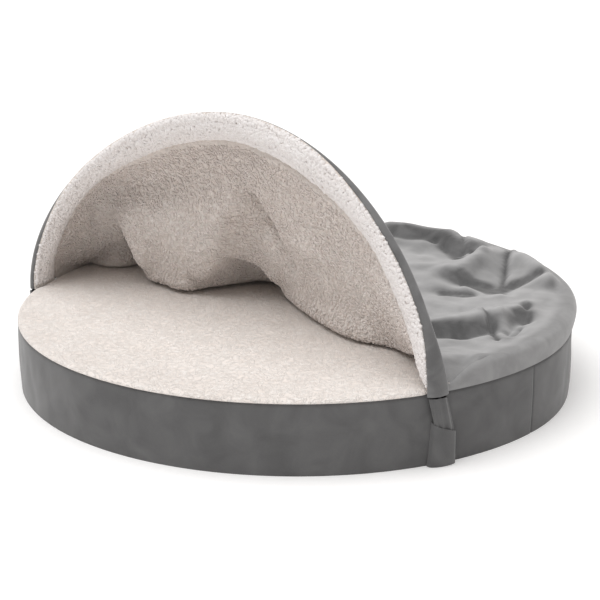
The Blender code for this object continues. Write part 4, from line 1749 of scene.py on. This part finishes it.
@dataclass(frozen=True)
class Studio:
    """Pale floor, soft light from above and the camera in front of the bed."""

    azimuth: float = 39.25
    elevation: float = 19.47
    distance: float = 2.7036
    lens: float = 99.54
    film_width: float = 36.0
    shift: tuple = (0.0045, 0.1155)
    floor_size: float = 40.0
    sky: float = 0.30
    sky_colour: tuple = (1.0, 0.94, 0.90)
    key_strength: float = 2.70
    key_spread: float = 70.0
    key_place: tuple = (-0.35, -0.40, 2.6)

    def build(self) -> None:
        """Add the floor, lights, world and camera."""
        bpy.ops.object.select_all(action="DESELECT")
        bpy.ops.mesh.primitive_plane_add(size=self.floor_size, location=(0.0, 0.0, 0.0))
        floor = bpy.context.object
        floor.name = "floor"
        floor.data.materials.append(PALE_FLOOR.build())
        self.sky_light()
        self.key_light()
        self.camera()

    def sky_light(self) -> None:
        """Light the bed evenly all round, before a pure white backdrop."""
        world = bpy.data.worlds.new("studio")
        world.use_nodes = True
        tree = world.node_tree
        lighting = tree.nodes["Background"]
        lighting.inputs["Color"].default_value = (*self.sky_colour, 1.0)
        lighting.inputs["Strength"].default_value = self.sky
        backdrop = tree.nodes.new("ShaderNodeBackground")
        backdrop.inputs["Color"].default_value = (*WHITE, 1.0)
        seen = tree.nodes.new("ShaderNodeLightPath")
        chosen = tree.nodes.new("ShaderNodeMixShader")
        tree.links.new(seen.outputs["Is Camera Ray"], chosen.inputs["Fac"])
        tree.links.new(lighting.outputs["Background"], chosen.inputs[1])
        tree.links.new(backdrop.outputs["Background"], chosen.inputs[2])
        tree.links.new(chosen.outputs["Shader"], tree.nodes["World Output"].inputs["Surface"])
        bpy.context.scene.world = world

    def key_light(self) -> None:
        """Add one very soft, even light from above and a little to the front."""
        data = bpy.data.lights.new("key", "SUN")
        data.energy, data.angle = self.key_strength, math.radians(self.key_spread)
        lamp = bpy.data.objects.new("key", data)
        lamp.location = self.key_place
        lamp.rotation_euler = (-lamp.location).to_track_quat("-Z", "Y").to_euler()
        bpy.context.scene.collection.objects.link(lamp)

    def camera(self) -> None:
        """Look at the bed from in front, a little above it."""
        azimuth, elevation = math.radians(self.azimuth), math.radians(self.elevation)
        level = math.cos(elevation)
        back = Vector((math.sin(azimuth) * level, -math.cos(azimuth) * level, math.sin(elevation)))
        camera = bpy.data.objects.new("camera", bpy.data.cameras.new("camera"))
        camera.data.sensor_width = self.film_width
        camera.data.lens = self.lens
        camera.data.shift_x, camera.data.shift_y = self.shift
        camera.location = back * self.distance
        camera.rotation_euler = (-back).to_track_quat("-Z", "Y").to_euler()
        bpy.context.scene.collection.objects.link(camera)
        bpy.context.scene.camera = camera
        bpy.context.scene.view_settings.view_transform = "Standard"


def main() -> None:
    """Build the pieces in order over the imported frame."""
    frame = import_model()
    bed = BedShape()
    hoop = Hoop(bed)
    blanket = Blanket(bed, hoop)
    fleece, suede = GROUND_FLEECE.build(), BAND_SUEDE.build()
    rod = frame["nodes"]["hoop_rod"]
    rod.data.materials.clear()
    rod.data.materials.append(DARK_ROD.build())

    Filling(bed).build(BASE_CLOTH.build())
    LOG.info("mattress done")
    SeatTop(bed).build(fleece)
    LOG.info("seat panel done")
    for name, first in (("band_back", 0.0), ("band_front", 180.0)):
        SideBand(bed, name, first).build(suede)
        LOG.info("%s done", name)
    cover = BlanketCloth(blanket, Side.COVER, "hood_cover", Slot.SUEDE, flat=(1.35, 0.80), area=0.70,
                         thickness=0.0018, tube_radius=0.0058, tube_rows=14, channel_puff=0.0015,
                         line_steps=COVER_LINES, row_steps=COVER_ROWS)
    cover.build(PAINTED_COVER_SUEDE.build())
    LOG.info("hood cover done")
    lining = BlanketCloth(blanket, Side.LINING, "hood_lining", Slot.SHERPA, flat=(1.35, 0.80), area=0.68,
                          thickness=0.0034, tube_radius=0.0050, tube_rows=8, channel_puff=0.008,
                          line_steps=LINING_LINES, row_steps=LINING_ROWS, groove=0.0045, pile=0.0005,
                          locks=(FACING_LOCKS, CURTAIN_LOCKS))
    lining.build(fleece)
    LOG.info("hood lining done")
    for side in End:
        end = HoopEnd(hoop, side)
        label = side.name.lower()
        RodSleeve(end, f"rod_sleeve_{label}").build(suede)
        PatchPocket(end, f"pocket_{label}").build(suede)
        LOG.info("%s sleeve and pocket done", label)
    Studio().build()


if __name__ == "__main__":
    logging.basicConfig(level=logging.INFO, format="%(message)s")
    main()
